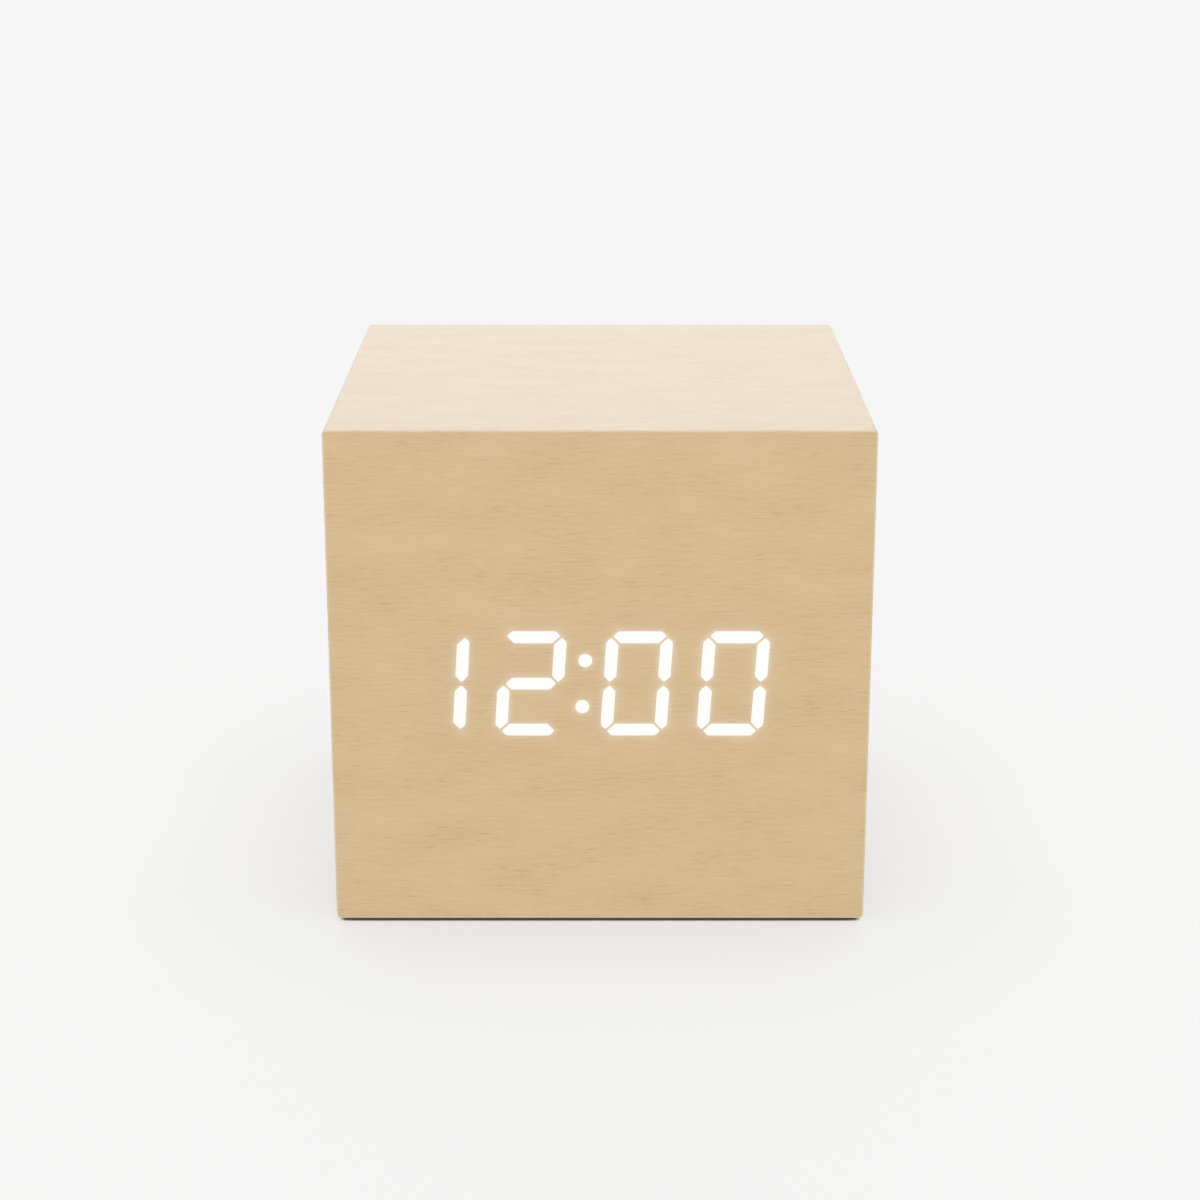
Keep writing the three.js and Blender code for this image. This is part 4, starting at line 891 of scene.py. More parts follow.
def add_bloom(mesh):
    """Keeps on each point of the film how much of the light beside a lit segment reaches it."""
    points = np.array([(vert.co.x, vert.co.z) for vert in mesh.vertices])
    outlines = lit_outlines() + colon_outlines()
    nearest = np.min([distance_to(points, outline) for outline in outlines], axis=0)
    bloom = mesh.attributes.new("bloom", "FLOAT", "POINT")
    bloom.data.foreach_set("value", np.exp(-nearest / BLOOM_REACH).astype(np.float32))


def lit_shape():
    """Thin plates in the film's face, one to a lit segment, their corners a little rounded."""
    shape = bmesh.new()
    for outline in lit_outlines():
        shape.faces.new([shape.verts.new((x, LIT_FACE, z)) for x, z in outline])
    bmesh.ops.bevel(shape, geom=shape.verts, offset=SEGMENT_R, segments=4, profile=0.5, affect="VERTICES")
    for outline in colon_outlines():
        shape.faces.new([shape.verts.new((x, LIT_FACE, z)) for x, z in outline])
    faces = shape.faces[:]
    raised = bmesh.ops.extrude_face_region(shape, geom=faces)["geom"]
    for vert in [part for part in raised if isinstance(part, bmesh.types.BMVert)]:
        vert.co.y = LIT_BACK
    return shape


def front_grain(tree, place):
    """The print on the front, whose streaks run from side to side."""
    x, y, z = split(tree, place)
    grain = add_node(tree, "ShaderNodeCombineXYZ", {"X": x, "Y": z, "Z": FRONT_LAYER}).outputs[0]
    return wood_on(tree, grain, WOOD_PALE, WOOD_DARK)


front_film, tree, shader, place = new_finish("front_film")
wood = front_grain(tree, place)
x, y, z = split(tree, place)
# Painted highlight: the print is made paler in a thin band round the film's eased rim.
from_rim = maths(tree, "MINIMUM", *from_edges(tree, x, z))
from_rim = maths(tree, "MAXIMUM", from_rim, maths(tree, "SUBTRACT", y, FILM_FACE))
edge_highlight = remap(tree, from_rim, 0.0, EDGE_BAND, EDGE_HIGHLIGHT_SHARE, 0.0)
bloom = add_node(tree, "ShaderNodeAttribute", attribute_name="bloom").outputs["Fac"]
feed(tree, shader, {
    "Base Color": mix_color(tree, edge_highlight, wood["Color"], paint(EDGE_HIGHLIGHT_PALE)),
    "Roughness": wood["Roughness"],
    "Coat Weight": VARNISH,
    "Coat Roughness": VARNISH_ROUGH,
    "Emission Color": mix_color(tree, bloom, paint(UNLIT), paint(BLOOM)),
    "Emission Strength": BLOOM_LIGHT,
})
add_bump(tree, shader, wood["Height"], FILM_RELIEF)
film = finished_piece("front_film_sheet", film_shape(), front_film)
add_bloom(film.data)
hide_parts("front_film")

lit_film, tree, shader, place = new_finish("lit_film")
streak = remap(tree, front_grain(tree, place)["Height"], 0.3, 0.7)
feed(tree, shader, {
    "Base Color": paint(LIT_BASE),
    "Emission Color": mix_color(tree, streak, paint(LIT_GRAIN), paint(LIT_WHITE)),
    "Emission Strength": LIT_LIGHT,
})
finished_piece("lit_digits", lit_shape(), lit_film)


# Key board
# A second glass-epoxy board behind the rear cover. Three tact switches, the alarm's slide switch, the
# power socket and the buzzer are soldered to it, and two pan screws hold it to the cover's posts.

SWITCH_BLACK = "#1b1c1e"
SWITCH_SHEEN = "#2a2b2e"
SWITCH_PEBBLE = 0.008 * MM
SWITCH_EASE = 0.1 * MM
SWITCH_LEG = 3.25 * MM
SWITCH_LEG_RISE = 2.25 * MM
PLUNGER_GREY = "#3a3b3f"
PLUNGER_SHEEN = "#4a4b50"
PLUNGER_PEBBLE = 0.004 * MM
SOCKET_BLACK = "#1a1a1c"
SOCKET_SHEEN = "#28282b"
SOCKET_PEBBLE = 0.006 * MM
SOCKET_EASE = 0.15 * MM
BUZZER_EASE = 0.3 * MM
PIN_BRIGHT = "#d6d2c4"
PIN_DULL = "#b4afa0"
LEG_PITCH = 2.2 * MM
KEYS = ("set", "up", "down")
TO_FRONT = (math.pi / 2, 0, 0)

key_mask = board_finish("key_mask", "key_board")
dress(key_mask, "key_board")
switch_black = moulded_finish("switch_black", SWITCH_BLACK, SWITCH_SHEEN, SWITCH_PEBBLE)
plunger_grey = moulded_finish("plunger_grey", PLUNGER_GREY, PLUNGER_SHEEN, PLUNGER_PEBBLE)
for key in KEYS:
    eased_copy(f"{key}_switch", switch_black, SWITCH_EASE)
    eased_copy(f"{key}_plunger", plunger_grey, SWITCH_EASE, f"{key}_key")
eased_copy("alarm_switch", can_steel, SWITCH_EASE)
eased_copy("alarm_buzzer", switch_black, BUZZER_EASE)
socket_black = moulded_finish("socket_black", SOCKET_BLACK, SOCKET_SHEEN, SOCKET_PEBBLE)
eased_copy("power_socket", socket_black, SOCKET_EASE)
pin_plate = metal_finish("pin_plate", PIN_BRIGHT, PIN_DULL)
eased_copy("socket_pin", pin_plate, 0)
screw_set(
    "key_board_screws", ["key_board_screw_1", "key_board_screw_2"], (1, 0), BOARD_SCREW_L, 0.0,
    TO_FRONT, screw_steel, "bright_steel",
)

key_low, key_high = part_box("key_board")
legs = []
for key in KEYS:
    middle = middle_of(f"{key}_switch")
    for side in (-1, 1):
        for rise in (-SWITCH_LEG_RISE, SWITCH_LEG_RISE):
            legs.append((middle.x + side * SWITCH_LEG, key_low.y, middle.z + rise))
for node in ("alarm_switch", "power_socket", "alarm_buzzer"):
    middle = middle_of(node)
    for shift in (-LEG_PITCH, 0, LEG_PITCH):
        legs.append((middle.x + shift, key_low.y, middle.z))
grown(
    "key_board_solder", solder_joints, legs, "bright_steel",
    radius=JOINT_R, height=JOINT_H, turn=TO_FRONT, finish=solder,
)


# Rear cover
# A black moulded plate let into the back of the case, with ribs and posts on its inside. Its face has
# holes for the keys, the slide switch and the socket, and a ring of holes over the buzzer.

COVER_BLACK = "#1c1c1e"
COVER_SHEEN = "#2c2c2f"
COVER_PEBBLE = 0.02 * MM
COVER_EASE = 0.18 * MM

cover_plastic = moulded_finish("cover_plastic", COVER_BLACK, COVER_SHEEN, COVER_PEBBLE)
eased_copy("rear_cover", cover_plastic, COVER_EASE)


# Keys and alarm knob
# Three dished key caps with a flange that keeps them behind the cover, and the ribbed knob of the
# slide switch. All are moulded in a smoother black than the cover and polished a little by use.

KEY_BLACK = "#2b2b2e"
KEY_WORN = "#3d3d42"
KEY_PEBBLE = 0.005 * MM
KEY_EASE = 0.12 * MM
KNOB_EASE = 0.06 * MM

key_plastic = moulded_finish("key_plastic", KEY_BLACK, KEY_WORN, KEY_PEBBLE)
for key in KEYS:
    eased_copy(f"{key}_button", key_plastic, KEY_EASE, f"{key}_key")
eased_copy("alarm_knob", key_plastic, KNOB_EASE, "alarm_slider")


# Cover screws
# Four flat-headed steel screws with black zinc plating. They sit sunk in the cover's corners and bite
# into the wooden lands of the case.

BLACK_ZINC = "#3c3d40"
BLACK_ZINC_WORN = "#5a5b5f"
COVER_SCREW_L = 9 * MM

black_zinc = metal_finish("black_zinc", BLACK_ZINC, BLACK_ZINC_WORN)
screw_set(
    "cover_screws", [f"cover_screw_{number}" for number in range(1, 5)], (1, 1), COVER_SCREW_L, 1.0,
    TO_BACK, black_zinc, "black_steel",
)


# Battery tray
# A black moulded box for three cells, dropped through the base from below. Its flange lies in a recess
# of the base, and two flat-headed screws hold it there.

TRAY_PEBBLE = 0.015 * MM
TRAY_EASE = 0.12 * MM
TRAY_SCREW_L = 4.2 * MM
TO_BASE = (math.pi, 0, 0)

tray_plastic = moulded_finish("tray_plastic", COVER_BLACK, COVER_SHEEN, TRAY_PEBBLE)
eased_copy("battery_tray", tray_plastic, TRAY_EASE)
screw_set(
    "tray_screws", ["tray_screw_1", "tray_screw_2"], (2, 0), TRAY_SCREW_L, 1.0,
    TO_BASE, black_zinc, "black_steel",
)


# Battery contacts
# Strips of nickel-plated spring steel slid into the ends of the tray. A cone of wire presses on each
# cell's flat end, a pressed bump meets each nub, and a tab goes up through the roof for each lead.

CONTACT_BRIGHT = "#d3d5d8"
CONTACT_DULL = "#b4b7bb"
CONTACT_T = 0.4 * MM
CONTACT_W = 8 * MM
CONTACT_H = 8.4 * MM
CONTACT_R = 0.6 * MM
BUMP_R = 1.5 * MM
BUMP_H = 0.5 * MM
BUMP_SIDES = 24
BUMP_RINGS = 6
TAB_W = 2.4 * MM
SPRING_BASE = 7 * MM
SPRING_TIP = 4.6 * MM
SPRING_WIRE = 0.7 * MM
SPRING_TURNS = 2.5
SPRING_RISE = 2.7 * MM
SPRING_FLAT = 0.12
SPRING_STEPS = 90
SPRING_SIDES = 12


def make_contact_spring():
    """A cone of round wire that stands on a plate at Z = 0, with both of its ends turned flat."""
    tree, given, result = new_geometry_tree("contact_spring", (
        "Base Width", "Tip Width", "Wire Width", "Turns", "Rise", "Flat Share",
    ))
    line = add_node(tree, "GeometryNodeCurvePrimitiveLine").outputs["Curve"]
    line = add_node(tree, "GeometryNodeResampleCurve", {"Curve": line, "Count": SPRING_STEPS}).outputs[0]
    share = add_node(tree, "GeometryNodeSplineParameter").outputs["Factor"]
    angle = product(tree, share, given["Turns"], 2 * math.pi)
    width = mix_value(tree, share, given["Base Width"], given["Tip Width"])
    last = maths(tree, "SUBTRACT", 1.0, given["Flat Share"])
    rise = remap(tree, share, given["Flat Share"], last, 0.0, given["Rise"])
    place = add_node(tree, "ShaderNodeCombineXYZ", {
        "X": product(tree, width, 0.5, maths(tree, "COSINE", angle)),
        "Y": product(tree, width, 0.5, maths(tree, "SINE", angle)),
        "Z": maths(tree, "ADD", rise, product(tree, given["Wire Width"], 0.25)),
    }).outputs[0]
    coil = add_node(tree, "GeometryNodeSetPosition", {"Geometry": line, "Position": place}).outputs[0]
    wire = add_node(tree, "GeometryNodeCurvePrimitiveCircle", {
        "Resolution": SPRING_SIDES,
        "Radius": product(tree, given["Wire Width"], 0.5),
    }).outputs["Curve"]
    spring = add_node(tree, "GeometryNodeCurveToMesh", {
        "Curve": coil,
        "Profile Curve": wire,
        "Fill Caps": True,
    }).outputs["Mesh"]
    set_on_places(tree, given, result, spring)
    return tree


def strip_outline(rows, tab_row, tab_top):
    """A strip's corners on the end of the tray, with a tab standing on one row if a lead needs it."""
    low, high = min(rows) - CONTACT_W / 2, max(rows) + CONTACT_W / 2
    foot, head = cell_level - CONTACT_H / 2, cell_level + CONTACT_H / 2
    tab = []
    if tab_row is not None:
        right, left = tab_row + TAB_W / 2, tab_row - TAB_W / 2
        tab = [(right, head), (right, tab_top), (left, tab_top), (left, head)]
    return [(low, foot), (high, foot), (high, head), *tab, (low, head)]


def add_pressed_bump(shape, side, face, row):
    """A dome raised on a strip's face, closed behind within the strip's thickness."""
    rings = []
    for ring in range(BUMP_RINGS):
        share = 1 - ring / BUMP_RINGS
        out = BUMP_H * (1 + math.cos(math.pi * share)) / 2
        turns = [2 * math.pi * index / BUMP_SIDES for index in range(BUMP_SIDES)]
        reach = BUMP_R * share
        rings.append([shape.verts.new((
            face - side * out,
            row + reach * math.cos(turn),
            cell_level + reach * math.sin(turn),
        )) for turn in turns])
    tip = shape.verts.new((face - side * BUMP_H, row, cell_level))
    for index in range(BUMP_SIDES):
        after = (index + 1) % BUMP_SIDES
        for outer, inner in zip(rings, rings[1:]):
            shape.faces.new((outer[index], outer[after], inner[after], inner[index]))
        shape.faces.new((rings[-1][index], rings[-1][after], tip))
    back = [shape.verts.new((face + side * CONTACT_T / 2, vert.co.y, vert.co.z)) for vert in rings[0]]
    for index in range(BUMP_SIDES):
        after = (index + 1) % BUMP_SIDES
        shape.faces.new((back[index], back[after], rings[0][after], rings[0][index]))
    shape.faces.new(back)


def strip_shape(side, face, rows, bump_row, tab_row, tab_top):
    """A strip with rounded corners, its face towards the cells, and a bump on it where a nub meets it."""
    shape = bmesh.new()
    corners = [shape.verts.new((face, y, z)) for y, z in strip_outline(rows, tab_row, tab_top)]
    shape.faces.new(corners)
    bmesh.ops.bevel(shape, geom=corners, offset=CONTACT_R, segments=4, profile=0.5, affect="VERTICES")
    back = bmesh.ops.extrude_face_region(shape, geom=shape.faces[:])["geom"]
    for vert in [part for part in back if isinstance(part, bmesh.types.BMVert)]:
        vert.co.x = face + side * CONTACT_T
    if bump_row is not None:
        add_pressed_bump(shape, side, face, bump_row)
    return shape


contact_spring = make_contact_spring()
contact_plate = metal_finish("contact_plate", CONTACT_BRIGHT, CONTACT_DULL)
cell_middles = [middle_of(f"battery_cell_{number}") for number in (1, 2, 3)]
cell_level = cell_middles[0].z
first_row, middle_row, last_row = [middle.y for middle in cell_middles]
for node, side, bump_row, spring_row, tab_row in (
    ("positive_contact", 1, first_row, None, first_row),
    ("link_contact_1", -1, middle_row, first_row, None),
    ("link_contact_2", 1, last_row, middle_row, None),
    ("negative_contact", -1, None, last_row, last_row),
):
    strip_low, strip_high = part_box(node)
    face = (strip_high.x if side == 1 else strip_low.x) - side * CONTACT_T
    rows = [row for row in (bump_row, spring_row) if row is not None]
    shape = strip_shape(side, face, rows, bump_row, tab_row, strip_high.z)
    strip = finished_piece(f"{node}_strip", shape, contact_plate)
    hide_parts(node)
    if spring_row is not None:
        spring = grown(
            f"{node}_spring", contact_spring, [(face, spring_row, cell_level)], "spring_steel",
            base_width=SPRING_BASE, tip_width=SPRING_TIP, wire_width=SPRING_WIRE, turns=SPRING_TURNS,
            rise=SPRING_RISE, flat_share=SPRING_FLAT, finish=contact_plate,
            turn=(0, -math.pi / 2, 0 if side == 1 else math.pi),
        )
        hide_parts(node)


# Battery cells
# Three size AAA cells laid head to tail. Each is a steel can in a shrunk plastic sleeve, slate blue
# with a silver band at its positive end, and the sleeve stops short of the bare steel at both ends.

CELL_BLUE = "#3f5f7d"
CELL_BLUE_DEEP = "#34506b"
CELL_SILVER = "#c4c8cc"
CELL_STEEL = "#cfd2d6"
CELL_NUB = 1.0 * MM
CELL_BAND = 9.5 * MM
CELL_RIM = 0.5 * MM
CELL_GLOSS = (120, 900, 900)
BAND_METAL = 0.7


def cell_finish(name, node, positive):
    """A printed sleeve between bare steel ends, with the band at the positive end: 1 is +X, -1 is -X."""
    low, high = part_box(node)
    end = high.x if positive == 1 else -low.x
    foot = low.x if positive == 1 else -high.x
    finish, tree, shader, place = new_finish(name)
    x, y, z = split(tree, place)
    along = product(tree, x, positive)
    gloss = noise(tree, place, CELL_GLOSS, 3)
    sleeve = mix_color(tree, remap(tree, gloss, 0.35, 0.65), paint(CELL_BLUE), paint(CELL_BLUE_DEEP))
    band = maths(tree, "GREATER_THAN", along, end - CELL_BAND)
    nub = maths(tree, "GREATER_THAN", along, end - CELL_NUB)
    rim = maths(tree, "LESS_THAN", along, foot + CELL_RIM)
    bare = maths(tree, "MAXIMUM", nub, rim)
    printed = mix_color(tree, band, sleeve, paint(CELL_SILVER))
    feed(tree, shader, {
        "Base Color": mix_color(tree, bare, printed, paint(CELL_STEEL)),
        "Roughness": remap(tree, gloss, 0.3, 0.7, 0.24, 0.36),
        "Metallic": maths(tree, "MAXIMUM", bare, product(tree, band, BAND_METAL)),
    })
    return finish


for number, positive in ((1, 1), (2, -1), (3, 1)):
    node = f"battery_cell_{number}"
    eased_copy(node, cell_finish(f"cell_sleeve_{number}", node, positive), 0)


# Battery door
# A black moulded flap that turns on two pins at its rear edge and snaps shut with a tongue at the
# front. Low ridges on the tongue give a fingertip its grip.

DOOR_EASE = 0.15 * MM
RIDGE_COUNT = 4
RIDGE_PITCH = 0.9 * MM
RIDGE_R = 0.3 * MM
RIDGE_PROUD = 0.12 * MM
RIDGE_L = 7 * MM
RIDGE_START = 0.8 * MM
RIDGE_SIDES = 20
ALONG_X = (0, math.pi / 2, 0)


def make_grip_ridges():
    """A low round ridge on each place."""
    tree, given, result = new_geometry_tree("grip_ridges", ("Radius", "Length"))
    bar = add_node(tree, "GeometryNodeMeshCylinder", {
        "Vertices": RIDGE_SIDES,
        "Radius": given["Radius"],
        "Depth": given["Length"],
    }).outputs["Mesh"]
    set_on_places(tree, given, result, bar)
    return tree


eased_copy("battery_door", tray_plastic, DOOR_EASE, "battery_hatch")
door_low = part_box("battery_door")[0]
ridge_places = []
for index in range(RIDGE_COUNT):
    ridge_y = door_low.y + RIDGE_START + index * RIDGE_PITCH
    ridge_places.append((0, ridge_y, door_low.z + RIDGE_R - RIDGE_PROUD))
grown(
    "door_grip", make_grip_ridges(), ridge_places, "black_plastic", "battery_hatch",
    radius=RIDGE_R, length=RIDGE_L, turn=ALONG_X, finish=tray_plastic,
)


# Wiring
# A flat grey ribbon joins the two boards: eight stranded wires side by side in one soft coat, the first
# marked red. A red and a black lead bring the cells' supply to the key board, and all are soldered.

RIBBON_GREY = "#b0b3b7"
# The valley tone is painted shade between the round wires.
RIBBON_VALLEY_SHADE = "#94989d"
RIBBON_MARK = "#a5342c"
RIBBON_WIRES = 8
RIBBON_PITCH = 1.25 * MM
RIBBON_T = 0.9 * MM
RIBBON_WEB = 0.4 * MM
RIBBON_STEPS = 192
RIBBON_EDGE = 3 * MM
RIBBON_JOINT_R = 0.52 * MM
RIBBON_JOINT_H = 0.9 * MM
RIBBON_CLOUDS = (400, 400, 400)
LEAD_D = 1.4 * MM
LEAD_SIDES = 16
LEAD_RISE = 12 * MM
LEAD_RUN = 14 * MM
LEAD_X = 10 * MM
LEAD_JOINT_R = 1.1 * MM
LEAD_JOINT_H = 1.2 * MM
WIRE_GAP = 0.3 * MM
PATH_STEPS = 32
LEAD_RED = "#b3261e"
LEAD_RED_SHADE = "#8f1d17"
LEAD_BLACK = "#222224"
LEAD_BLACK_SHADE = "#313134"
LEAD_PEBBLE = 0.004 * MM
UPRIGHT = (0, 0, 0)


def new_path_tree(name, sizes):
    """A geometry tree with a smooth path from Start to End, bent towards two handles."""
    ends = ("Start", "Start Handle", "End Handle", "End")
    tree, given, result = new_geometry_tree(name, sizes, ends)
    path = add_node(tree, "GeometryNodeCurvePrimitiveBezierSegment", {
        "Resolution": PATH_STEPS,
        **{label: given[label] for label in ends},
    }).outputs["Curve"]
    return tree, given, result, path


def end_path_tree(tree, given, result, path, outline):
    """Ends a tree: the outline drawn along the path, made plain mesh and given its finish."""
    body = add_node(tree, "GeometryNodeCurveToMesh", {
        "Curve": path,
        "Profile Curve": outline,
        "Fill Caps": True,
    }).outputs["Mesh"]
    plain = add_node(tree, "GeometryNodeRealizeInstances", {"Geometry": body}).outputs[0]
    finished = add_node(tree, "GeometryNodeSetMaterial", {"Geometry": plain, "Material": given["Finish"]})
    tree.links.new(finished.outputs[0], result["Pieces"])
    return tree


def make_ribbon():
    """Round wires side by side with a thin web between them, along a path."""
    tree, given, result, path = new_path_tree("ribbon", ("Wires", "Pitch", "Thickness", "Web"))
    ring = add_node(tree, "GeometryNodeCurvePrimitiveCircle", {"Resolution": RIBBON_STEPS}).outputs["Curve"]
    share = add_node(tree, "GeometryNodeSplineParameter").outputs["Factor"]
    radius = product(tree, given["Thickness"], 0.5)
    outer = product(tree, maths(tree, "SUBTRACT", given["Wires"], 1.0), given["Pitch"], 0.5)
    half = maths(tree, "ADD", outer, radius)
    from_middle = maths(tree, "ABSOLUTE", maths(tree, "SUBTRACT", share, 0.5))
    x = product(tree, maths(tree, "SUBTRACT", product(tree, from_middle, 4.0), 1.0), half)
    lane = maths(tree, "ADD", maths(tree, "DIVIDE", x, given["Pitch"]), given["Wires"])
    offset = maths(tree, "ABSOLUTE", maths(tree, "SUBTRACT", maths(tree, "FRACT", lane), 0.5))
    offset = product(tree, offset, given["Pitch"])
    square = maths(tree, "SUBTRACT", product(tree, radius, radius), product(tree, offset, offset))
    coat = maths(tree, "SQRT", maths(tree, "MAXIMUM", square, 0.0))
    between = maths(tree, "LESS_THAN", maths(tree, "ABSOLUTE", x), outer)
    coat = maths(tree, "MAXIMUM", coat, product(tree, between, given["Web"], 0.5))
    upper = remap(tree, maths(tree, "LESS_THAN", share, 0.5), 0.0, 1.0, -1.0, 1.0)
    place = add_node(tree, "ShaderNodeCombineXYZ", {"X": x, "Y": product(tree, upper, coat)}).outputs[0]
    outline = add_node(tree, "GeometryNodeSetPosition", {"Geometry": ring, "Position": place}).outputs[0]
    return end_path_tree(tree, given, result, path, outline)


def make_lead():
    """One round insulated wire along a path."""
    tree, given, result, path = new_path_tree("lead", ("Width",))
    outline = add_node(tree, "GeometryNodeCurvePrimitiveCircle", {
        "Resolution": LEAD_SIDES,
        "Radius": product(tree, given["Width"], 0.5),
    }).outputs["Curve"]
    return end_path_tree(tree, given, result, path, outline)


ribbon_coat, tree, shader, place = new_finish("ribbon_coat")
x, y, z = split(tree, place)
lane = maths(tree, "ADD", maths(tree, "DIVIDE", x, RIBBON_PITCH), RIBBON_WIRES / 2)
# Painted shade and highlight: the coat is darker in the valleys between the wires and lighter on their
# crowns.
lit_crown = maths(tree, "SINE", product(tree, maths(tree, "FRACT", lane), math.pi))
ground = mix_color(tree, lit_crown, paint(RIBBON_VALLEY_SHADE), paint(RIBBON_GREY))
first_wire = maths(tree, "LESS_THAN", lane, 1.0)
cloud = noise(tree, place, RIBBON_CLOUDS, 2)
feed(tree, shader, {
    "Base Color": mix_color(tree, first_wire, ground, paint(RIBBON_MARK)),
    "Roughness": remap(tree, cloud, 0.3, 0.7, 0.45, 0.62),
})
ribbon_start = (0, display_high.y + WIRE_GAP, display_high.z - RIBBON_EDGE)
ribbon_end = (0, key_low.y - WIRE_GAP, key_high.z - RIBBON_EDGE)
bend = (ribbon_end[1] - ribbon_start[1]) / 3
ribbon = grown(
    "ribbon_cable_wires", make_ribbon(), [(0, 0, 0)], "ribbon_grey",
    start=ribbon_start, start_handle=(0, ribbon_start[1] + bend, ribbon_start[2]),
    end_handle=(0, ribbon_end[1] - bend, ribbon_end[2]), end=ribbon_end,
    wires=float(RIBBON_WIRES), pitch=RIBBON_PITCH, thickness=RIBBON_T, web=RIBBON_WEB, finish=ribbon_coat,
)
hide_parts("ribbon_cable")

lead = make_lead()
lead_red = moulded_finish("lead_red", LEAD_RED, LEAD_RED_SHADE, LEAD_PEBBLE)
lead_black = moulded_finish("lead_black", LEAD_BLACK, LEAD_BLACK_SHADE, LEAD_PEBBLE)
lead_feet = []
lead_ends = []
for node, contact, side, row, finish, slot in (
    ("positive_lead", "positive_contact", 1, first_row, lead_red, "red_sleeve"),
    ("negative_lead", "negative_contact", -1, last_row, lead_black, "black_sleeve"),
):
    tab_low, tab_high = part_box(contact)
    tab_x = (tab_high.x if side == 1 else tab_low.x) - side * CONTACT_T / 2
    start = (tab_x, row, tab_high.z + WIRE_GAP)
    end = (side * LEAD_X, key_low.y - WIRE_GAP, key_low.z + RIBBON_EDGE)
    wire = grown(
        f"{node}_wire", lead, [(0, 0, 0)], slot,
        start=start, start_handle=(tab_x, row, start[2] + LEAD_RISE),
        end_handle=(end[0], end[1] - LEAD_RUN, end[2]), end=end, width=LEAD_D, finish=finish,
    )
    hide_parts(node)
    lead_feet.append((tab_x, row, tab_high.z - LEAD_JOINT_H / 2))
    lead_ends.append((end[0], key_low.y, end[2]))
ribbon_pins = [(index - (RIBBON_WIRES - 1) / 2) * RIBBON_PITCH for index in range(RIBBON_WIRES)]
for name, places, radius, height, turn in (
    ("ribbon_display_solder", [(pin, display_high.y, ribbon_start[2]) for pin in ribbon_pins],
     RIBBON_JOINT_R, RIBBON_JOINT_H, TO_BACK),
    ("ribbon_key_solder", [(pin, key_low.y, ribbon_end[2]) for pin in ribbon_pins],
     RIBBON_JOINT_R, RIBBON_JOINT_H, TO_FRONT),
    ("lead_key_solder", lead_ends, LEAD_JOINT_R, LEAD_JOINT_H, TO_FRONT),
    ("lead_tab_solder", lead_feet, LEAD_JOINT_R, LEAD_JOINT_H, UPRIGHT),
):
    grown(
        name, solder_joints, places, "bright_steel",
        radius=radius, height=height, turn=turn, finish=solder,
    )


# Feet
# Four discs of dark rubber punched from self-adhesive sheet. They are stuck into shallow seats in the
# base and stand half their thickness proud of it.

FOOT_RUBBER = "#38383a"
FOOT_DUST = "#4a4a4c"
FOOT_PEBBLE = 0.03 * MM
FOOT_EASE = 0.2 * MM

foot_rubber = moulded_finish("foot_rubber", FOOT_RUBBER, FOOT_DUST, FOOT_PEBBLE)
for number in range(1, 5):
    eased_copy(f"foot_pad_{number}", foot_rubber, FOOT_EASE)


# Floor, light and camera
# A pale sweep under an even studio light: bright low walls, a broad lamp from the front and another
# from behind that lays a sheen on the top. The camera looks down on the clock from straight ahead.

FLOOR_HALF = 6.0
FLOOR_WHITE = 0.12
FLOOR_ROUGH = 0.9
FLOOR_LIFT = 0.842
CONTACT_SHADE = 0.27
FLOOR_BOUNCE = 0.32
UNDER_BOUNCE = 0.85
CONTACT_REACH = 34 * MM
UNDER_CASE = 0.2
BESIDE_CASE = 0.43
BACKGROUND = 0.9216
HORIZON_LIGHT = 2.1
HORIZON_TOP = 0.15
ZENITH_LIGHT = 0.13
ZENITH_START = 0.5
FRONT_LAMP = 1.235
FRONT_LAMP_HEIGHT = 14
BACK_LAMP = 1.13
BACK_LAMP_HEIGHT = 38
LAMP_SPREAD = 60
CAMERA_Y = -354.8 * MM
CAMERA_Z = 142.2 * MM
CAMERA_TILT = 16.944
LENS = 78.28


def seen_directly(tree):
    """1 for rays from the camera, and for those that metal and glass send on."""
    rays = add_node(tree, "ShaderNodeLightPath").outputs
    seen = maths(tree, "MAXIMUM", rays["Is Camera Ray"], rays["Is Glossy Ray"])
    return maths(tree, "MAXIMUM", seen, rays["Is Transmission Ray"])


def add_lamp(name, strength, height, turn, sheen):
    """A broad far lamp that shines from a height in degrees; turn 0 is the front and 180 the back.

    A lamp without sheen lights the surfaces but isn't mirrored in them.
    """
    lamp = bpy.data.lights.new(name, "SUN")
    lamp.energy = strength
    lamp.angle = math.radians(LAMP_SPREAD)
    holder = bpy.data.objects.new(name, lamp)
    holder.rotation_euler = (math.radians(90 - height), 0, math.radians(turn))
    holder.visible_glossy = sheen
    bpy.context.scene.collection.objects.link(holder)


floor_mesh = bpy.data.meshes.new("floor")
floor_mesh.from_pydata(
    [(-FLOOR_HALF, -FLOOR_HALF, 0), (FLOOR_HALF, -FLOOR_HALF, 0),
     (FLOOR_HALF, FLOOR_HALF, 0), (-FLOOR_HALF, FLOOR_HALF, 0)],
    [], [(0, 1, 2, 3)],
)
floor = bpy.data.objects.new("floor", floor_mesh)
bpy.context.scene.collection.objects.link(floor)
floor_paper, tree, shader, place = new_finish("floor_paper")
feed(tree, shader, {
    "Base Color": (FLOOR_WHITE, FLOOR_WHITE, FLOOR_WHITE, 1),
    "Roughness": FLOOR_ROUGH,
    "Specular IOR Level": 0.0,
})
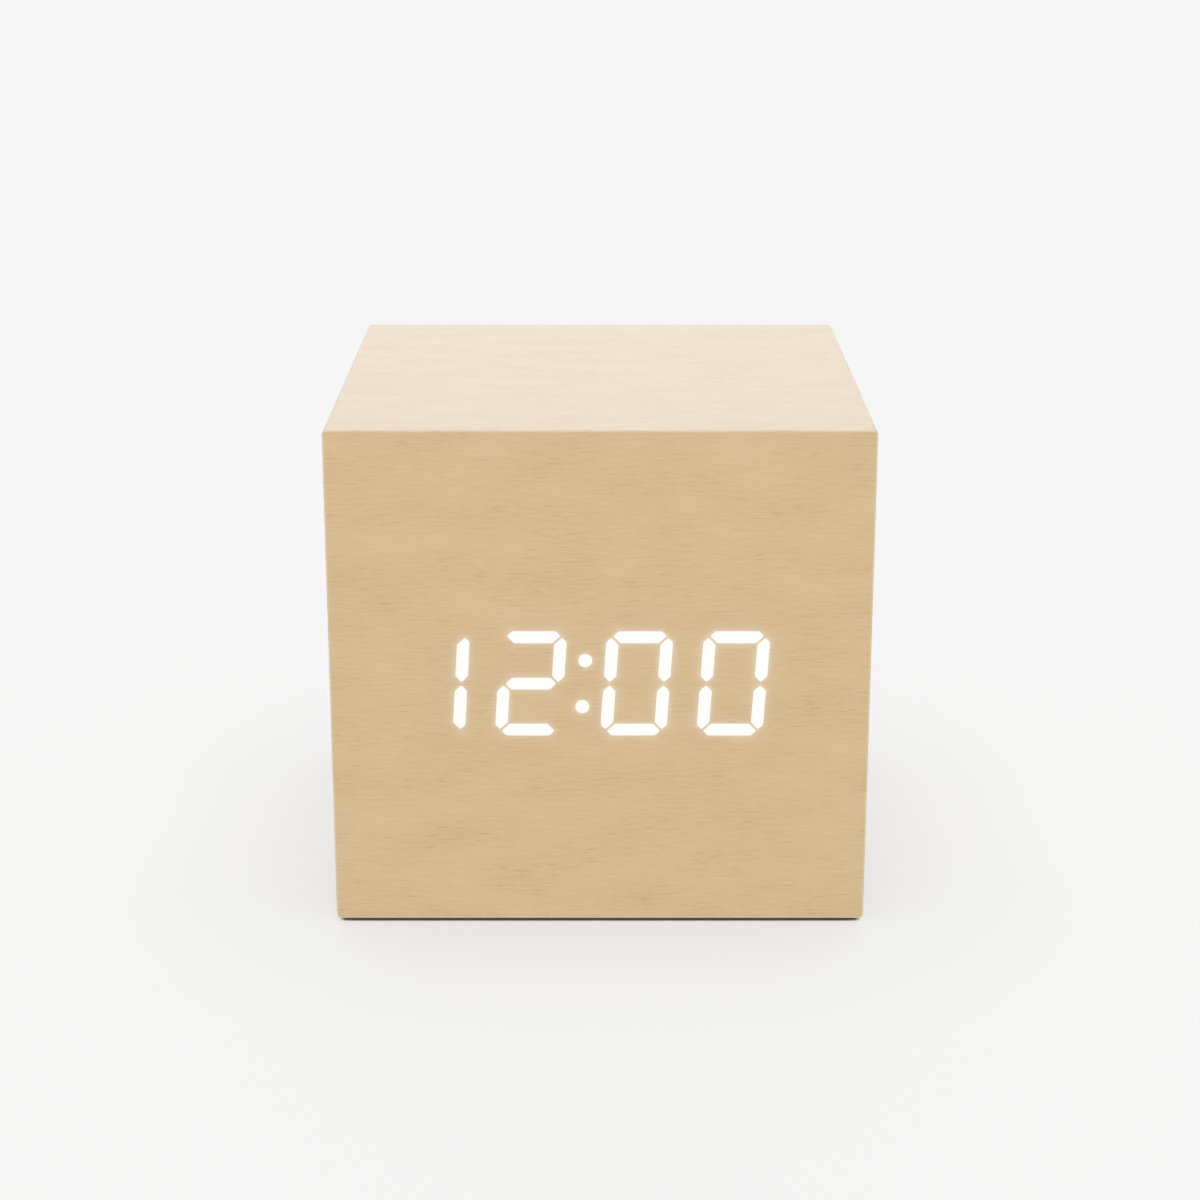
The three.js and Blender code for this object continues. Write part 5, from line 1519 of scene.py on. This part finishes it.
# Painted shadow: ambient occlusion darkens the floor's glow round the case and under it, where its shadow
# falls.
open_share = add_node(tree, "ShaderNodeAmbientOcclusion", {"Distance": CONTACT_REACH}).outputs["AO"]
outside = remap(tree, open_share, UNDER_CASE, BESIDE_CASE)
shade = remap(tree, open_share, 0.0, 1.0, 1 - CONTACT_SHADE, 1.0)
shade = maths(tree, "MINIMUM", shade, outside)
bounce = mix_value(tree, outside, UNDER_BOUNCE, FLOOR_BOUNCE)
lift = add_node(tree, "ShaderNodeEmission", {
    "Color": (1, 1, 1, 1),
    "Strength": product(tree, mix_value(tree, seen_directly(tree), bounce, shade), FLOOR_LIFT),
})
both = add_node(tree, "ShaderNodeAddShader", {0: shader.outputs[0], 1: lift.outputs[0]})
from_below = add_node(tree, "ShaderNodeNewGeometry").outputs["Backfacing"]
clear = add_node(tree, "ShaderNodeBsdfTransparent").outputs[0]
surface = add_node(tree, "ShaderNodeMixShader", {0: from_below, 1: both.outputs[0], 2: clear})
feed(tree, tree.nodes["Material Output"], {"Surface": surface.outputs[0]})
floor_mesh.materials.append(floor_paper)

studio = bpy.data.worlds.new("studio")
studio.use_nodes = True
bpy.context.scene.world = studio
tree = studio.node_tree
sky = split(tree, add_node(tree, "ShaderNodeTexCoord").outputs["Generated"])["Z"]
walls = remap(tree, sky, HORIZON_TOP, ZENITH_START, HORIZON_LIGHT, ZENITH_LIGHT)
feed(tree, tree.nodes["Background"], {
    "Color": (1, 1, 1, 1),
    "Strength": mix_value(tree, seen_directly(tree), walls, BACKGROUND),
})

add_lamp("front_lamp", FRONT_LAMP, FRONT_LAMP_HEIGHT, 0, sheen=False)
add_lamp("back_lamp", BACK_LAMP, BACK_LAMP_HEIGHT, 180, sheen=True)

eye = bpy.data.cameras.new("camera")
eye.lens = LENS
camera = bpy.data.objects.new("camera", eye)
camera.location = (0, CAMERA_Y, CAMERA_Z)
camera.rotation_euler = (math.radians(90 - CAMERA_TILT), 0, 0)
bpy.context.scene.collection.objects.link(camera)
bpy.context.scene.camera = camera
bpy.context.scene.view_settings.view_transform = "Standard"
